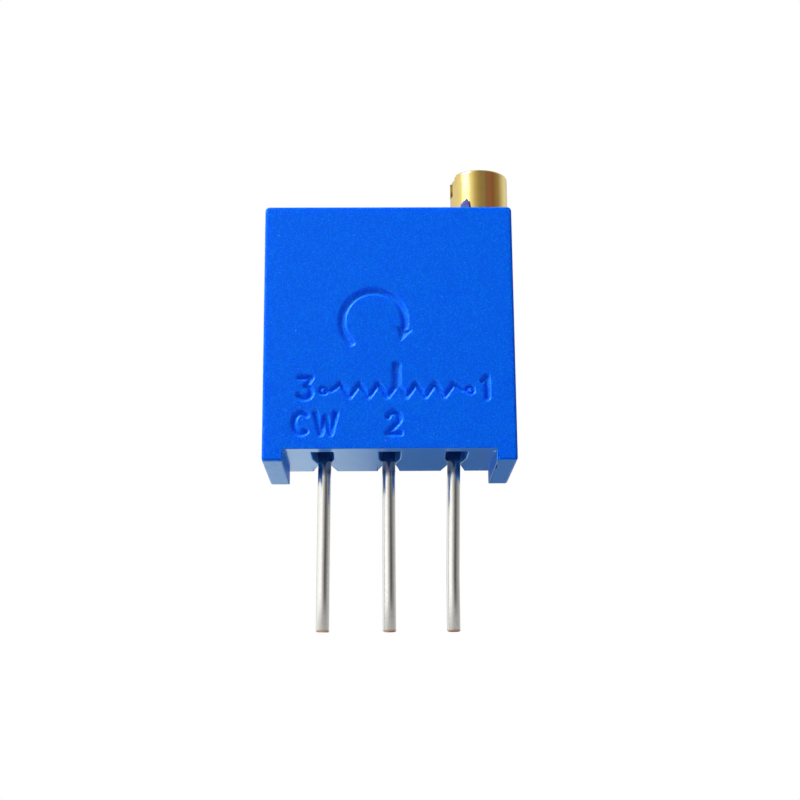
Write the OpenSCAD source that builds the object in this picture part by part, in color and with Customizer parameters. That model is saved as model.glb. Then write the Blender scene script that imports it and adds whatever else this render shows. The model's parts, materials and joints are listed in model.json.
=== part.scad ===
// Multi-turn trimmer potentiometer, 3/8 inch square, adjusted from the top, pins in line.
// Frame: +X to the right of the marked face, +Y to the back, +Z up to the screw.
// The origin is on the middle pin's axis, on the plane that the two feet stand on.

/* [Body] */
// Width of the body across the marked face
body_w = 9.53; // [9.3:0.01:10.5]
// Depth of the body from the marked face to the back
body_d = 4.83; // [4.7:0.01:5.6]
// Height of the top face over the board
body_h = 10.03; // [9.9:0.01:11]
// Wall between the marked face and the wheel chamber
front_wall = 0.65; // [0.5:0.01:0.68]
// Wall at each side of the back pocket
side_wall = 0.645; // [0.5:0.005:0.8]
// Wall over the back pocket
top_wall = 0.61; // [0.5:0.01:0.7]
// Wall between the wheel chamber and the top face
chamber_cover = 0.72; // [0.65:0.01:0.8]
// Thickness of the floor
floor_t = 0.6; // [0.5:0.01:0.65]
// Slope cut off the floor's back lower edge
floor_bevel = 0.455; // [0.2:0.005:0.49]
// Rounding of the outer edges
edge_r = 0.1; // [0.05:0.01:0.15]
// Rounding of the two top corners
corner_r = 0.17; // [0.16:0.01:0.3]

/* [Feet] */
// Width of each foot
foot_w = 0.765; // [0.6:0.005:0.9]
// Height of the feet, the gap under the floor
foot_h = 0.455; // [0.35:0.005:0.6]
// Rounding of the feet's inner back corners
foot_back_r = 0.2; // [0.05:0.01:0.3]

/* [Pins] */
// Diameter of a pin
pin_d = 0.51; // [0.45:0.01:0.52]
// Distance from pin to pin
pin_pitch = 2.54; // [2.5:0.01:2.6]
// Length of the pins below the board plane
pin_len = 6.1; // [3:0.1:8]
// Length of the pins above the floor
pin_grip = 0.75; // [0.6:0.01:0.8]
// Length of the round part above the floor's underside
pin_round = 0.03; // [0.01:0.01:0.06]
// Thickness of the flattened upper end
blade_t = 0.3; // [0.2:0.01:0.36]
// Width of the flattened upper end
blade_w = 0.5; // [0.4:0.01:0.52]
// Bevel of the cut pin ends
pin_bevel = 0.06; // [0.02:0.01:0.1]

/* [Pin slots] */
// Width of a slot's front pocket
slot_w = 0.82; // [0.7:0.01:1]
// Width of a slot's neck behind the pin
neck_w = 0.44; // [0.3:0.01:0.62]
// Width of a slot's mouth at the back
mouth_w = 0.92; // [0.8:0.01:1.2]
// Wall in front of the slots
slot_wall = 0.61; // [0.5:0.01:0.8]
// Length of the full-width part of a slot
slot_pocket_len = 1.35; // [1:0.01:1.4]
// Distance from the pin's axis to the neck
neck_from_pin = 0.55; // [0.45:0.01:0.7]
// Length of the neck
neck_len = 0.15; // [0.1:0.01:0.5]
// Depth of a slot's blind front pocket over the floor's underside
slot_rise = 1.05; // [0.8:0.01:1.1]

/* [Screw] */
// Distance from the screw's axis to the right side
screw_from_side = 1.17; // [1.16:0.01:1.3]
// Distance from the screw's axis to the marked face
screw_from_front = 1.27; // [1.2:0.01:1.3]
// Diameter of the head
head_d = 2.26; // [2:0.01:2.28]
// Height of the head over the top face
head_rise = 1.6; // [1.2:0.01:2]
// Bevel of the head's top edge
head_bevel = 0.06; // [0.02:0.01:0.1]
// Width of the driver slot
driver_w = 0.56; // [0.4:0.01:0.7]
// Depth of the driver slot
driver_deep = 0.85; // [0.4:0.01:0.95]
// Turn of the driver slot about the screw's axis, in degrees
driver_turn = 7; // [-90:1:90]
// Diameter of the shank in the bore
shank_d = 1.66; // [1.6:0.01:1.68]
// Diameter at the bottom of the seal groove and the retaining groove
groove_d = 1.0; // [0.9:0.01:1.04]
// Length of the shank over the seal groove
seal_depth = 0.45; // [0.3:0.01:0.6]
// Thickness of the seal ring
ring_t = 0.34; // [0.3:0.01:0.36]
// Length of the shank between the two grooves
land_len = 0.5; // [0.3:0.01:0.6]
// Diameter of the retaining pin
retainer_d = 0.32; // [0.28:0.01:0.36]
// Length of the shank below the retaining groove
shank_tail = 0.3; // [0.2:0.01:0.4]
// Diameter of the journal at the screw's lower end
journal_d = 0.8; // [0.6:0.01:0.86]
// Length of the journal
journal_len = 1.4; // [1:0.01:1.6]

/* [Screw pip] */
// Width of the pip that stands beside the head
pip_w = 0.37; // [0.25:0.01:0.45]
// Height of the pip
pip_h = 0.37; // [0.25:0.01:0.5]
// Distance of the pip to the left of the screw's axis
pip_left = 0.62; // [0.5:0.01:0.7]

/* [Worm drive] */
// Play around the wheel's tips in their chamber
tip_play = 0.1; // [0.06:0.01:0.15]
// Number of teeth on the wheel
teeth = 30; // [28:1:31]
// Distance from thread to thread along the worm
worm_pitch = 0.71; // [0.68:0.005:0.72]
// Pitch diameter of the worm
worm_d = 1.32; // [1.3:0.01:1.33]
// Height of a tooth over the pitch line
addendum = 0.17; // [0.14:0.01:0.17]
// Depth of a tooth under the pitch line
dedendum = 0.2; // [0.19:0.01:0.23]
// Slope of the tooth flanks, in degrees
flank_angle = 20; // [14:1:20]
// Play between the teeth and the thread along the pitch line
backlash = 0.09; // [0.08:0.01:0.12]
// Turns of thread on the worm
worm_turns = 5; // [3:0.5:5.5]
// Plain core at each end of the worm's thread
worm_end = 0.2; // [0.15:0.01:0.25]
// Thickness of the wheel's toothed rim
rim_t = 0.9; // [0.7:0.01:0.92]
// Width of the rim under the teeth
rim_w = 0.4; // [0.3:0.01:0.6]
// Depth of the ring-shaped hollow in the wheel's front
web_hollow = 0.3; // [0.1:0.01:0.45]
// Diameter of the post that the wheel turns on
post_d = 1.4; // [1:0.01:1.5]
// Diameter of the wheel's hub
hub_d = 2.6; // [2.2:0.01:3]
// Diameter of the pegs that hold the wiper carrier
peg_d = 0.4; // [0.3:0.01:0.45]
// Distance of the pegs from the wheel's axis
peg_out = 1.12; // [1.05:0.01:1.15]

/* [Wiper] */
// Thickness of the wiper carrier
carrier_t = 0.1; // [0.06:0.01:0.14]
// Diameter of the carrier's round plate
carrier_d = 2.9; // [2.8:0.01:3]
// Width of the carrier's arms
arm_w = 1.1; // [0.95:0.01:1.2]
// Distance of each arm's bend inside the round plate's edge
arm_inset = 0.15; // [0.1:0.01:0.2]
// Reach of each arm beyond its bend
arm_reach = 0.55; // [0.45:0.01:0.6]
// Rise of each arm from the wheel
arm_rise = 0.4; // [0.3:0.01:0.45]
// Thickness of a contact wire
wire_t = 0.09; // [0.07:0.01:0.1]
// Number of contact wires on each arm
wires = 5; // [3:1:5]
// Distance from wire to wire
wire_step = 0.2; // [0.16:0.01:0.22]
// Length of a wire's toe on each side of where it touches
toe_len = 0.16; // [0.12:0.01:0.2]
// Rise of the toe's back end from where it touches
toe_rise = 0.1; // [0.07:0.01:0.13]
// Length of the collector wires' first stretch off the arm
wire_bend = 0.12; // [0.08:0.01:0.15]

/* [Element] */
// Width of the ledge that the ceramic plate rests on
ledge_w = 0.3; // [0.15:0.01:0.35]
// Thickness of the ceramic plate
ceramic_t = 0.635; // [0.5:0.005:0.8]
// Thickness of the printed films
film_t = 0.03; // [0.02:0.005:0.04]
// Radius of the middle of the resistive track
track_r = 2.55; // [2.4:0.01:2.6]
// Width of the resistive track
track_w = 0.8; // [0.6:0.01:0.9]
// Half of the angle that the resistive track covers, in degrees
track_half_angle = 150; // [140:1:152]
// Angle of the ring that each end conductor covers, in degrees
end_angle = 9; // [6:1:12]
// Radius of the middle of the collector ring
collector_r = 1.15; // [1.05:0.01:1.2]
// Width of the collector ring
collector_w = 0.7; // [0.5:0.01:0.8]
// Width of the collector's lead
lead_w = 0.5; // [0.3:0.01:0.6]
// Width of the pads under the pins
pad_w = 0.9; // [0.7:0.01:1]
// Width of a solder joint on its pad
solder_w = 0.84; // [0.6:0.01:0.9]
// Bare pad below the solder
solder_lift = 0.15; // [0.05:0.01:0.2]
// Solder over a blade's upper end
solder_cap = 0.05; // [0.03:0.01:0.08]
// Solder in front of a blade and beside it
solder_wrap = 0.05; // [0.03:0.01:0.08]

/* [Back seal] */
// Depth of the epoxy's face inside the back rim
seal_recess = 0.12; // [0.05:0.01:0.3]

/* [Marks] */
// Depth of the marks in the marked face
mark_deep = 0.1; // [0.02:0.01:0.15]
// Width of a mark's stroke
stroke_w = 0.15; // [0.1:0.01:0.18]
// Height of a number from line to line
glyph_h = 0.84; // [0.7:0.01:0.9]
// Height of the upper row's middle over the board
upper_row = 2.82; // [2.6:0.01:3.2]
// Height of the lower row's middle over the board
lower_row = 1.44; // [1.3:0.01:1.6]
// Distance of the number 3 to the left of the middle
three_left = 3.17; // [3.1:0.01:3.3]
// Distance of the number 1 to the right of the middle
one_right = 3.6; // [3.5:0.01:3.8]
// Distance of the number 2 to the right of the middle
two_right = 0.14; // [0:0.01:0.3]
// Distance of the letter C to the left of the middle
c_left = 3.35; // [3.2:0.01:3.5]
// Distance of the letter W to the left of the middle
w_left = 2.4; // [2.3:0.01:2.5]
// Width of the letter W from line to line
letter_w_w = 0.8; // [0.7:0.01:0.9]
// Drop of the zigzag under the upper row's middle
zigzag_drop = 0.12; // [0.05:0.01:0.2]
// Distance of the zigzag's left end to the left of the middle
zigzag_left = 2.21; // [2:0.01:2.3]
// Length of one rise or fall of the zigzag
zigzag_step = 0.355; // [0.3:0.005:0.36]
// Height of the zigzag's points over its line
zigzag_rise = 0.25; // [0.2:0.01:0.28]
// Number of rises and falls of the zigzag
zigzag_count = 14; // [10:2:14]
// Length of the straight line at each end of the zigzag
zigzag_lead = 0.12; // [0.1:0.01:0.4]
// Radius of the rings at the zigzag's ends
zigzag_ring = 0.16; // [0.15:0.01:0.22]
// Distance of the wiper bar to the right of the middle
bar_right = 0.27; // [0.2:0.01:0.35]
// Height of the wiper bar's top over the zigzag's line
bar_top = 0.95; // [0.8:0.01:1.1]
// Width of the wiper bar and of the turn arrow's stroke
bold_w = 0.24; // [0.18:0.01:0.28]
// Radius of the turn arrow
arrow_r = 1.2; // [0.8:0.01:1.3]
// Distance of the turn arrow's centre to the left of the middle
arrow_left = 0.6; // [0.4:0.01:0.8]
// Height of the turn arrow's centre over the board
arrow_z = 5.4; // [5.2:0.01:5.6]
// Length of the turn arrow's head
arrow_tip = 0.61; // [0.5:0.01:0.7]
// Width of the turn arrow's head
arrow_tip_w = 0.72; // [0.6:0.01:0.8]

/* [Clearances] */
// Play around turning parts
run_c = 0.03; // [0.02:0.005:0.04]
// Play around the seal ring in the bore
ring_c = 0.01; // [0.01:0.005:0.02]
// Play around the ceramic plate in its pocket
plate_c = 0.06; // [0.03:0.01:0.1]
// Play between a pin and its channel
pin_c = 0.025; // [0.015:0.005:0.04]

/* [Hidden] */
$fn = 48;
eps = 0.02;

front_y = -body_d / 2;
back_y = body_d / 2;
right_x = body_w / 2;
floor_z = foot_h;
inner_z = floor_z + floor_t;

pin_r = pin_d / 2;
pin_round_top = floor_z + pin_round;
pin_top = inner_z + pin_grip;

// The films lie against the pins' blades, and the ceramic plate behind the films.
film_y = pin_r;
blade_y = film_y - blade_t;
ceramic_y = film_y + film_t;
seal_y = ceramic_y + ceramic_t;
pocket_x = right_x - side_wall;
pocket_top = body_h - top_wall;

screw_x = right_x - screw_from_side;
screw_y = front_y + screw_from_front;
head_r = head_d / 2;
head_z = body_h + run_c;
head_top = body_h + head_rise;
shank_r = shank_d / 2;
bore_r = shank_r + run_c;
groove_r = groove_d / 2;
journal_r = journal_d / 2;

// The seal ring fills the annulus between its groove and the bore, apart from ring_c.
ring_r = ring_t / 2;
ring_mid_r = bore_r - ring_c - ring_r;
ring_groove_r = ring_mid_r - ring_r;
ring_groove_len = ring_t + 2 * ring_c;
ring_groove_top = body_h - seal_depth;
ring_groove_low = ring_groove_top - ring_groove_len;
catch_top = ring_groove_low - land_len;
catch_low = catch_top - retainer_d - 2 * run_c;
retainer_x = screw_x - groove_r - ring_c - retainer_d / 2;
retainer_z = (catch_top + catch_low) / 2;
shank_low = catch_low - shank_tail;

// Worm and wheel: the wheel's pitch circle is as long as its teeth are apart on the worm.
worm_r = worm_d / 2;
worm_tip_r = worm_r + addendum;
worm_root_r = worm_r - dedendum;
wheel_r = teeth * worm_pitch / (2 * PI);
wheel_tip_r = wheel_r + addendum;
wheel_root_r = wheel_r - dedendum;
lead_angle = atan(worm_pitch / (2 * PI * worm_r));
half_tooth = (worm_pitch - backlash) / 4;
chamber_r = wheel_tip_r + tip_play;
wheel_x = screw_x - wheel_r - worm_r;
wheel_z = body_h - chamber_cover - chamber_r;
wheel_front = screw_y - rim_t / 2;
wheel_back = screw_y + rim_t / 2;
chamber_y = front_y + front_wall;
worm_len = worm_turns * worm_pitch;
journal_top = wheel_z - worm_len / 2 - worm_end;
journal_low = journal_top - journal_len;
post_r = post_d / 2;
hub_r = hub_d / 2;

pad_low = inner_z + plate_c;
solder_low = pad_low + solder_lift;
solder_top = pin_top + solder_cap;
solder_y = blade_y - solder_wrap;

carrier_back = wheel_back + carrier_t;
touch_y = film_y - ring_c;

//////////////////////////////////////////////////////////////////////////////////////////////////
// Helpers: a flat shape drawn in (x, z) runs along Y, one drawn in (y, z) runs along X.

module along_y(from, to)
    translate([0, to, 0])
        rotate([90, 0, 0])
            linear_extrude(to - from)
                children();

module along_x(from, to)
    translate([from, 0, 0])
        rotate([90, 0, 90])
            linear_extrude(to - from)
                children();

// Rectangle between two corners, with round corners of the first radius below and the second above.
module round_box(low, high, low_r, high_r) {
    big = max(low_r, high_r);
    translate([low[0] + big, low[1]])
        square([high[0] - low[0] - 2 * big, high[1] - low[1]]);
    translate([low[0], low[1] + low_r])
        square([high[0] - low[0], high[1] - low[1] - low_r - high_r]);
    for (side = [0, 1]) {
        translate([side ? high[0] - low_r : low[0] + low_r, low[1] + low_r])
            circle(low_r);
        translate([side ? high[0] - high_r : low[0] + high_r, high[1] - high_r])
            circle(high_r);
    }
    if (low_r < big)
        translate([low[0] + low_r, low[1]])
            square([high[0] - low[0] - 2 * low_r, big]);
}

// Sideways step from point i of a line, so that both sides of the stroke stay parallel to it.
function turned(v) = [-v[1], v[0]] / norm(v);
function mitre(line, i) =
    let (last = len(line) - 1)
    let (before = turned(line[max(i, 1)] - line[max(i, 1) - 1]))
    let (after = turned(line[min(i, last - 1) + 1] - line[min(i, last - 1)]))
    let (middle = (before + after) / norm(before + after))
    middle / (middle * after);
// Outline of a stroke of the given width along a line of points, counterclockwise.
function stroke(line, width) = concat(
    [for (i = [0 : len(line) - 1]) line[i] - mitre(line, i) * width / 2],
    [for (i = [len(line) - 1 : -1 : 0]) line[i] + mitre(line, i) * width / 2]);
// Points on an arc of an ellipse.
function arc(centre, radii, from, to, steps) =
    [for (i = [0 : steps]) let (a = from + (to - from) * i / steps)
        centre + [radii[0] * cos(a), radii[1] * sin(a)]];
// Point moved to the left of a direction by a distance.
function beside(point, direction, distance) = point + turned(direction) * distance;

//////////////////////////////////////////////////////////////////////////////////////////////////
// Housing

module body_block()
    intersection() {
        linear_extrude(body_h)
            round_box([-right_x, front_y], [right_x, back_y], edge_r, edge_r);
        along_y(front_y, back_y)
            round_box([-right_x, 0], [right_x, body_h], edge_r, corner_r);
        along_x(-right_x, right_x)
            round_box([front_y, 0], [back_y, body_h], edge_r, edge_r);
    }

// Everything under the floor between the two feet, with the slope at the floor's back edge.
module under_floor() {
    gap_x = right_x - foot_w;
    translate([-gap_x, front_y - eps, -eps])
        cube([2 * gap_x, body_d + 2 * eps, floor_z + eps]);
    for (side = [-1, 1])
        translate([side * gap_x, back_y, -eps])
            mirror([side < 0 ? 1 : 0, 0, 0])
                linear_extrude(floor_z + eps)
                    difference() {
                        translate([-eps, -foot_back_r])
                            square([foot_back_r + eps, foot_back_r + eps]);
                        translate([foot_back_r, -foot_back_r])
                            circle(foot_back_r);
                    }
    along_x(-gap_x, gap_x)
        polygon([[back_y - floor_bevel, floor_z - eps], [back_y - floor_bevel, floor_z],
            [back_y, floor_z + floor_bevel], [back_y + eps, floor_z + floor_bevel],
            [back_y + eps, floor_z - eps]]);
}

// Plan of one pin slot: a pocket, a narrow neck behind the pin and a flaring mouth at the back.
module slot_plan() {
    pocket_y = front_y + slot_wall;
    half = [[slot_w / 2, pocket_y], [slot_w / 2, pocket_y + slot_pocket_len],
        [neck_w / 2, neck_from_pin], [neck_w / 2, neck_from_pin + neck_len],
        [mouth_w / 2, back_y - floor_bevel], [mouth_w / 2, back_y + eps]];
    polygon(concat(half, [for (i = [len(half) - 1 : -1 : 0]) [-half[i][0], half[i][1]]]));
}

// One pin slot: through the floor, with a blind pocket in front, a channel up to the pin's top
// and room for its solder.
module pin_slot() {
    translate([0, 0, -eps])
        linear_extrude(inner_z + 2 * eps)
            slot_plan();
    translate([0, 0, floor_z])
        linear_extrude(slot_rise)
            intersection() {
                slot_plan();
                translate([-slot_w, front_y])
                    square([2 * slot_w, -front_y]);
            }
    channel_r = pin_r + pin_c;
    channel_top = pin_top + plate_c;
    translate([0, 0, floor_z])
        cylinder(r = channel_r, h = channel_top - floor_z);
    translate([-channel_r, 0, floor_z])
        cube([2 * channel_r, ceramic_y + eps, channel_top - floor_z]);
    translate([-solder_w / 2 - plate_c, solder_y - plate_c, solder_low - plate_c])
        cube([solder_w + 2 * plate_c, ceramic_y + eps - solder_y + plate_c,
            solder_top - solder_low + 2 * plate_c]);
}

// Pocket for the ceramic plate and the epoxy, with shallow room for the films inside its ledge.
module back_pocket() {
    along_y(ceramic_y, back_y + eps)
        translate([-pocket_x, inner_z])
            square([2 * pocket_x, pocket_top - inner_z]);
    along_y(film_y - run_c, ceramic_y + eps)
        translate([-pocket_x + ledge_w, inner_z])
            square([2 * (pocket_x - ledge_w), pocket_top - inner_z - ledge_w]);
}

// Round room for the wheel, around the post that it turns on.
module wheel_chamber()
    translate([wheel_x, 0, wheel_z])
        difference() {
            along_y(chamber_y, ceramic_y + eps)
                circle(chamber_r);
            along_y(chamber_y - eps, wheel_back - run_c)
                circle(post_r);
        }

module screw_bore()
    translate([screw_x, screw_y, 0]) {
        translate([0, 0, journal_top - run_c])
            cylinder(r = bore_r, h = body_h - journal_top + run_c + eps);
        translate([0, 0, journal_low - run_c])
            cylinder(r = journal_r + run_c, h = journal_len + run_c);
    }

// Small round-topped pip that stands on the top face and keeps clear of the head.
module screw_pip()
    difference() {
        translate([screw_x - pip_left, 0, body_h])
            along_y(front_y + edge_r, screw_y) {
                translate([0, pip_h - pip_w / 2])
                    circle(pip_w / 2);
                translate([-pip_w / 2, -corner_r])
                    square([pip_w, pip_h - pip_w / 2 + corner_r]);
            }
        translate([screw_x, screw_y, body_h])
            cylinder(r = head_r + run_c, h = head_rise);
    }

module retaining_pin_body()
    translate([retainer_x, 0, retainer_z])
        along_y(screw_y - shank_r, ceramic_y - run_c)
            circle(retainer_d / 2);

// Lines of the marks, in (x, z), each a list of points.
three = concat([[-0.25, 0.5] * glyph_h, [0.27, 0.5] * glyph_h],
    arc([-0.03, -0.2] * glyph_h, [0.3, 0.3] * glyph_h, 80, -150, 9));
one = [[-0.14, 0.32] * glyph_h, [0.06, 0.5] * glyph_h, [0.06, -0.5] * glyph_h];
two = concat(arc([0, 0.22] * glyph_h, [0.28, 0.28] * glyph_h, 165, -35, 9),
    [[-0.3, -0.5] * glyph_h, [0.32, -0.5] * glyph_h]);
letter_c = arc([0, 0], [0.3, 0.5] * glyph_h, 45, 315, 12);
letter_w = [for (i = [0 : 4])
    [(i - 2) * letter_w_w / 4, (i % 2 ? -0.5 : (i == 2 ? 0.25 : 0.5)) * glyph_h]];

// The zigzag is the sign of a resistor: a lead, the rises and falls, and a lead.
zigzag_z = upper_row - zigzag_drop;
zigzag_right = zigzag_step * zigzag_count - zigzag_left;
zigzag = concat([[-zigzag_left - zigzag_lead, 0]],
    [for (i = [0 : zigzag_count]) [i * zigzag_step - zigzag_left,
        i == 0 || i == zigzag_count ? 0 : (i % 2 ? 1 : -1) * zigzag_rise]],
    [[zigzag_right + zigzag_lead, 0]]);
bar_low = 0.2;

module mark(line, x, z, width = stroke_w)
    translate([x, z])
        polygon(stroke(line, width));

module end_ring(x)
    translate([x, zigzag_z])
        difference() {
            circle(zigzag_ring + stroke_w / 2);
            circle(zigzag_ring - stroke_w / 2);
        }

// Three fifths of a turn, clockwise, with its head at the lower right.
module turn_arrow() {
    tail_a = 225;
    tip_a = -15;
    translate([-arrow_left, arrow_z]) {
        mark(arc([0, 0], [arrow_r, arrow_r], tail_a, tip_a, 24), 0, 0, bold_w);
        rotate(tip_a)
            polygon([[arrow_r - arrow_tip_w / 2, 0.1 * arrow_tip], [arrow_r, -0.9 * arrow_tip],
                [arrow_r + arrow_tip_w / 2, 0.1 * arrow_tip]]);
    }
}

module marks()
    along_y(front_y - eps, front_y + mark_deep) {
        mark(three, -three_left, upper_row);
        mark(one, one_right, upper_row);
        mark(two, two_right, lower_row);
        mark(letter_c, -c_left, lower_row);
        mark(letter_w, -w_left, lower_row);
        mark(zigzag, 0, zigzag_z);
        end_ring(-zigzag_left - zigzag_lead - zigzag_ring);
        end_ring(zigzag_right + zigzag_lead + zigzag_ring);
        mark([[bar_right, bar_low], [bar_right, bar_top]], 0, zigzag_z, bold_w);
        turn_arrow();
    }

module housing()
    color("royalblue")
        difference() {
            union() {
                body_block();
                screw_pip();
            }
            under_floor();
            for (i = [-1 : 1])
                translate([i * pin_pitch, 0, 0])
                    pin_slot();
            back_pocket();
            wheel_chamber();
            screw_bore();
            retaining_pin_body();
            marks();
        }

// Epoxy that fills the pocket behind the ceramic plate.
module back_seal()
    color("midnightblue")
        along_y(seal_y, back_y - seal_recess)
            translate([-pocket_x, inner_z])
                square([2 * pocket_x, pocket_top - inner_z]);

//////////////////////////////////////////////////////////////////////////////////////////////////
// Screw

// Radius and height of each corner of the turned blank, from the head down.
module screw_blank()
    rotate_extrude()
        polygon([[0, head_top], [head_r - head_bevel, head_top], [head_r, head_top - head_bevel],
            [head_r, head_z], [shank_r, head_z], [shank_r, ring_groove_top], [ring_groove_r, ring_groove_top],
            [ring_groove_r, ring_groove_low], [shank_r, ring_groove_low], [shank_r, catch_top],
            [groove_r, catch_top], [groove_r, catch_low], [shank_r, catch_low], [shank_r, shank_low],
            [worm_root_r, shank_low], [worm_root_r, journal_top], [journal_r, journal_top],
            [journal_r, journal_low], [0, journal_low]]);

// Right-hand thread as one swept band: four corners a step, with the crest run down at both ends.
module worm_thread() {
    steps_a_turn = 16;
    steps = round(worm_turns * steps_a_turn);
    run_out = steps_a_turn / 2;
    inside = 0.05;
    slope = tan(flank_angle);
    foot_half = half_tooth + (dedendum + inside) * slope;
    function crest(i) = addendum * min(1, i / run_out - 0.5, (steps - i) / run_out - 0.5);
    function corner(i, r, side, half) =
        let (a = 180 + (i - steps / 2) * 360 / steps_a_turn)
        [r * cos(a), r * sin(a), wheel_z + worm_pitch * (0.5 + (i - steps / 2) / steps_a_turn) + side * half];
    points = [for (i = [0 : steps]) each [
        corner(i, worm_root_r - inside, -1, foot_half),
        corner(i, worm_r + crest(i), -1, half_tooth - crest(i) * slope),
        corner(i, worm_r + crest(i), 1, half_tooth - crest(i) * slope),
        corner(i, worm_root_r - inside, 1, foot_half)]];
    sides = [for (i = [0 : steps - 1]) for (k = [0 : 3])
        let (a = 4 * i + k, b = 4 * i + (k + 1) % 4)
        each [[a, b, b + 4], [a, b + 4, a + 4]]];
    ends = [[3, 2, 1], [3, 1, 0], [4 * steps, 4 * steps + 1, 4 * steps + 2],
        [4 * steps, 4 * steps + 2, 4 * steps + 3]];
    polyhedron(points, concat(sides, ends));
}

module adjustment_screw()
    color("goldenrod")
        translate([screw_x, screw_y, 0]) {
            difference() {
                screw_blank();
                translate([0, 0, head_top - driver_deep])
                    rotate(driver_turn)
                        translate([-head_r - eps, -driver_w / 2, 0])
                            cube([head_d + 2 * eps, driver_w, driver_deep + eps]);
            }
            worm_thread();
        }

module screw_o_ring()
    color("black")
        translate([screw_x, screw_y, (ring_groove_top + ring_groove_low) / 2])
            rotate_extrude()
                translate([ring_mid_r, 0])
                    circle(ring_r);

module screw_retaining_pin()
    color("silver")
        retaining_pin_body();

//////////////////////////////////////////////////////////////////////////////////////////////////
// Wheel and wiper, drawn about the wheel's axis with the wiper's arm straight up

// Tooth that points along +X, leaning with the worm's thread.
module tooth() {
    slope = tan(flank_angle);
    inside = 0.1;
    low = half_tooth + (dedendum + inside) * slope;
    high = half_tooth - addendum * slope;
    rotate([-lead_angle, 0, 0])
        along_y(-rim_t, rim_t)
            polygon([[wheel_root_r - inside, -low], [wheel_tip_r, -high], [wheel_tip_r, high],
                [wheel_root_r - inside, low]]);
}

module worm_wheel()
    color("ivory")
        translate([wheel_x, 0, wheel_z])
            difference() {
                union() {
                    along_y(wheel_front, wheel_back)
                        circle(wheel_root_r);
                    intersection() {
                        translate([0, screw_y, 0])
                            for (i = [0 : teeth - 1])
                                rotate([0, i * 360 / teeth, 0])
                                    tooth();
                        along_y(wheel_front, wheel_back)
                            circle(wheel_tip_r);
                    }
                    along_y(chamber_y + run_c, wheel_front + eps)
                        circle(hub_r);
                    for (side = [-1, 1])
                        along_y(wheel_back - eps, carrier_back)
                            translate([side * peg_out, 0])
                                circle(peg_d / 2);
                }
                along_y(wheel_front - eps, wheel_front + web_hollow)
                    difference() {
                        circle(wheel_root_r - rim_w);
                        circle(hub_r);
                    }
                along_y(chamber_y, wheel_back + eps)
                    circle(post_r + run_c);
            }

// Lines of the bent arms in (y, z): the upper arm reaches to the track, the lower one turns back in.
arm_root = carrier_d / 2 - arm_inset;
arm_foot = [wheel_back + carrier_t / 2, arm_root];
arm_end = [arm_foot[0] + arm_rise, arm_root + arm_reach];
arm_way = arm_end - arm_foot;
arm_line = [arm_foot - [0, carrier_t], arm_foot, arm_end];
wire_start = beside(arm_foot + arm_way * 0.45, arm_way, -(carrier_t + wire_t) / 2);
wire_leave = beside(arm_end, arm_way, -(carrier_t + wire_t) / 2);
toe_y = touch_y - wire_t / 2;
toe_front = toe_y - 0.8 * toe_rise;

module wiper_carrier()
    color("gold")
        translate([wheel_x, 0, wheel_z]) {
            along_y(wheel_back, carrier_back)
                difference() {
                    union() {
                        circle(carrier_d / 2);
                        translate([-arm_w / 2, -arm_root])
                            square([arm_w, 2 * arm_root]);
                    }
                    circle(post_r + run_c);
                    for (side = [-1, 1])
                        translate([side * peg_out, 0])
                            circle(peg_d / 2);
                }
            for (side = [-1, 1])
                along_x(-arm_w / 2, arm_w / 2)
                    polygon([for (p = stroke(arm_line, carrier_t)) [p[0], side * p[1]]]);
        }

// Contact wires: straight off the upper arm to the track, bent back from the lower arm to the collector.
module wiper_wires() {
    track_line = [wire_start, wire_leave, [toe_front, track_r - toe_len], [toe_y, track_r],
        [toe_y - toe_rise, track_r + toe_len]];
    collector_line = [wire_start, wire_leave, wire_leave + [wire_bend, 0],
        [toe_front, collector_r + toe_len], [toe_y, collector_r], [toe_y - toe_rise, collector_r - toe_len]];
    color("gainsboro")
        translate([wheel_x, 0, wheel_z])
            for (i = [0 : wires - 1]) {
                x = (i - (wires - 1) / 2) * wire_step;
                along_x(x - wire_t / 2, x + wire_t / 2) {
                    polygon(stroke(track_line, wire_t));
                    polygon([for (p = stroke(collector_line, wire_t)) [p[0], -p[1]]]);
                }
            }
}

//////////////////////////////////////////////////////////////////////////////////////////////////
// Element: ceramic plate, printed films, pins and their solder

module ceramic_substrate()
    color("white")
        along_y(ceramic_y, seal_y)
            translate([-pocket_x + plate_c, inner_z + plate_c])
                square([2 * (pocket_x - plate_c), pocket_top - inner_z - 2 * plate_c]);

// Part of a ring between two angles from straight up, towards +X.
module ring_part(mid_r, width, from, to)
    intersection() {
        difference() {
            circle(mid_r + width / 2);
            circle(mid_r - width / 2);
        }
        polygon(concat([[0, 0]], [for (i = [0 : 8]) let (a = from + (to - from) * i / 8)
            2 * mid_r * [sin(a), cos(a)]]));
    }

module film()
    along_y(film_y, ceramic_y)
        children();

module resistive_track()
    color("dimgray")
        translate([wheel_x, 0, wheel_z])
            film()
                ring_part(track_r, track_w, -track_half_angle, track_half_angle);

module pad(place)
    translate([place * pin_pitch - pad_w / 2, pad_low])
        square([pad_w, pin_top - pad_low]);

module lead(line)
    polygon(stroke(line, lead_w));

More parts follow.
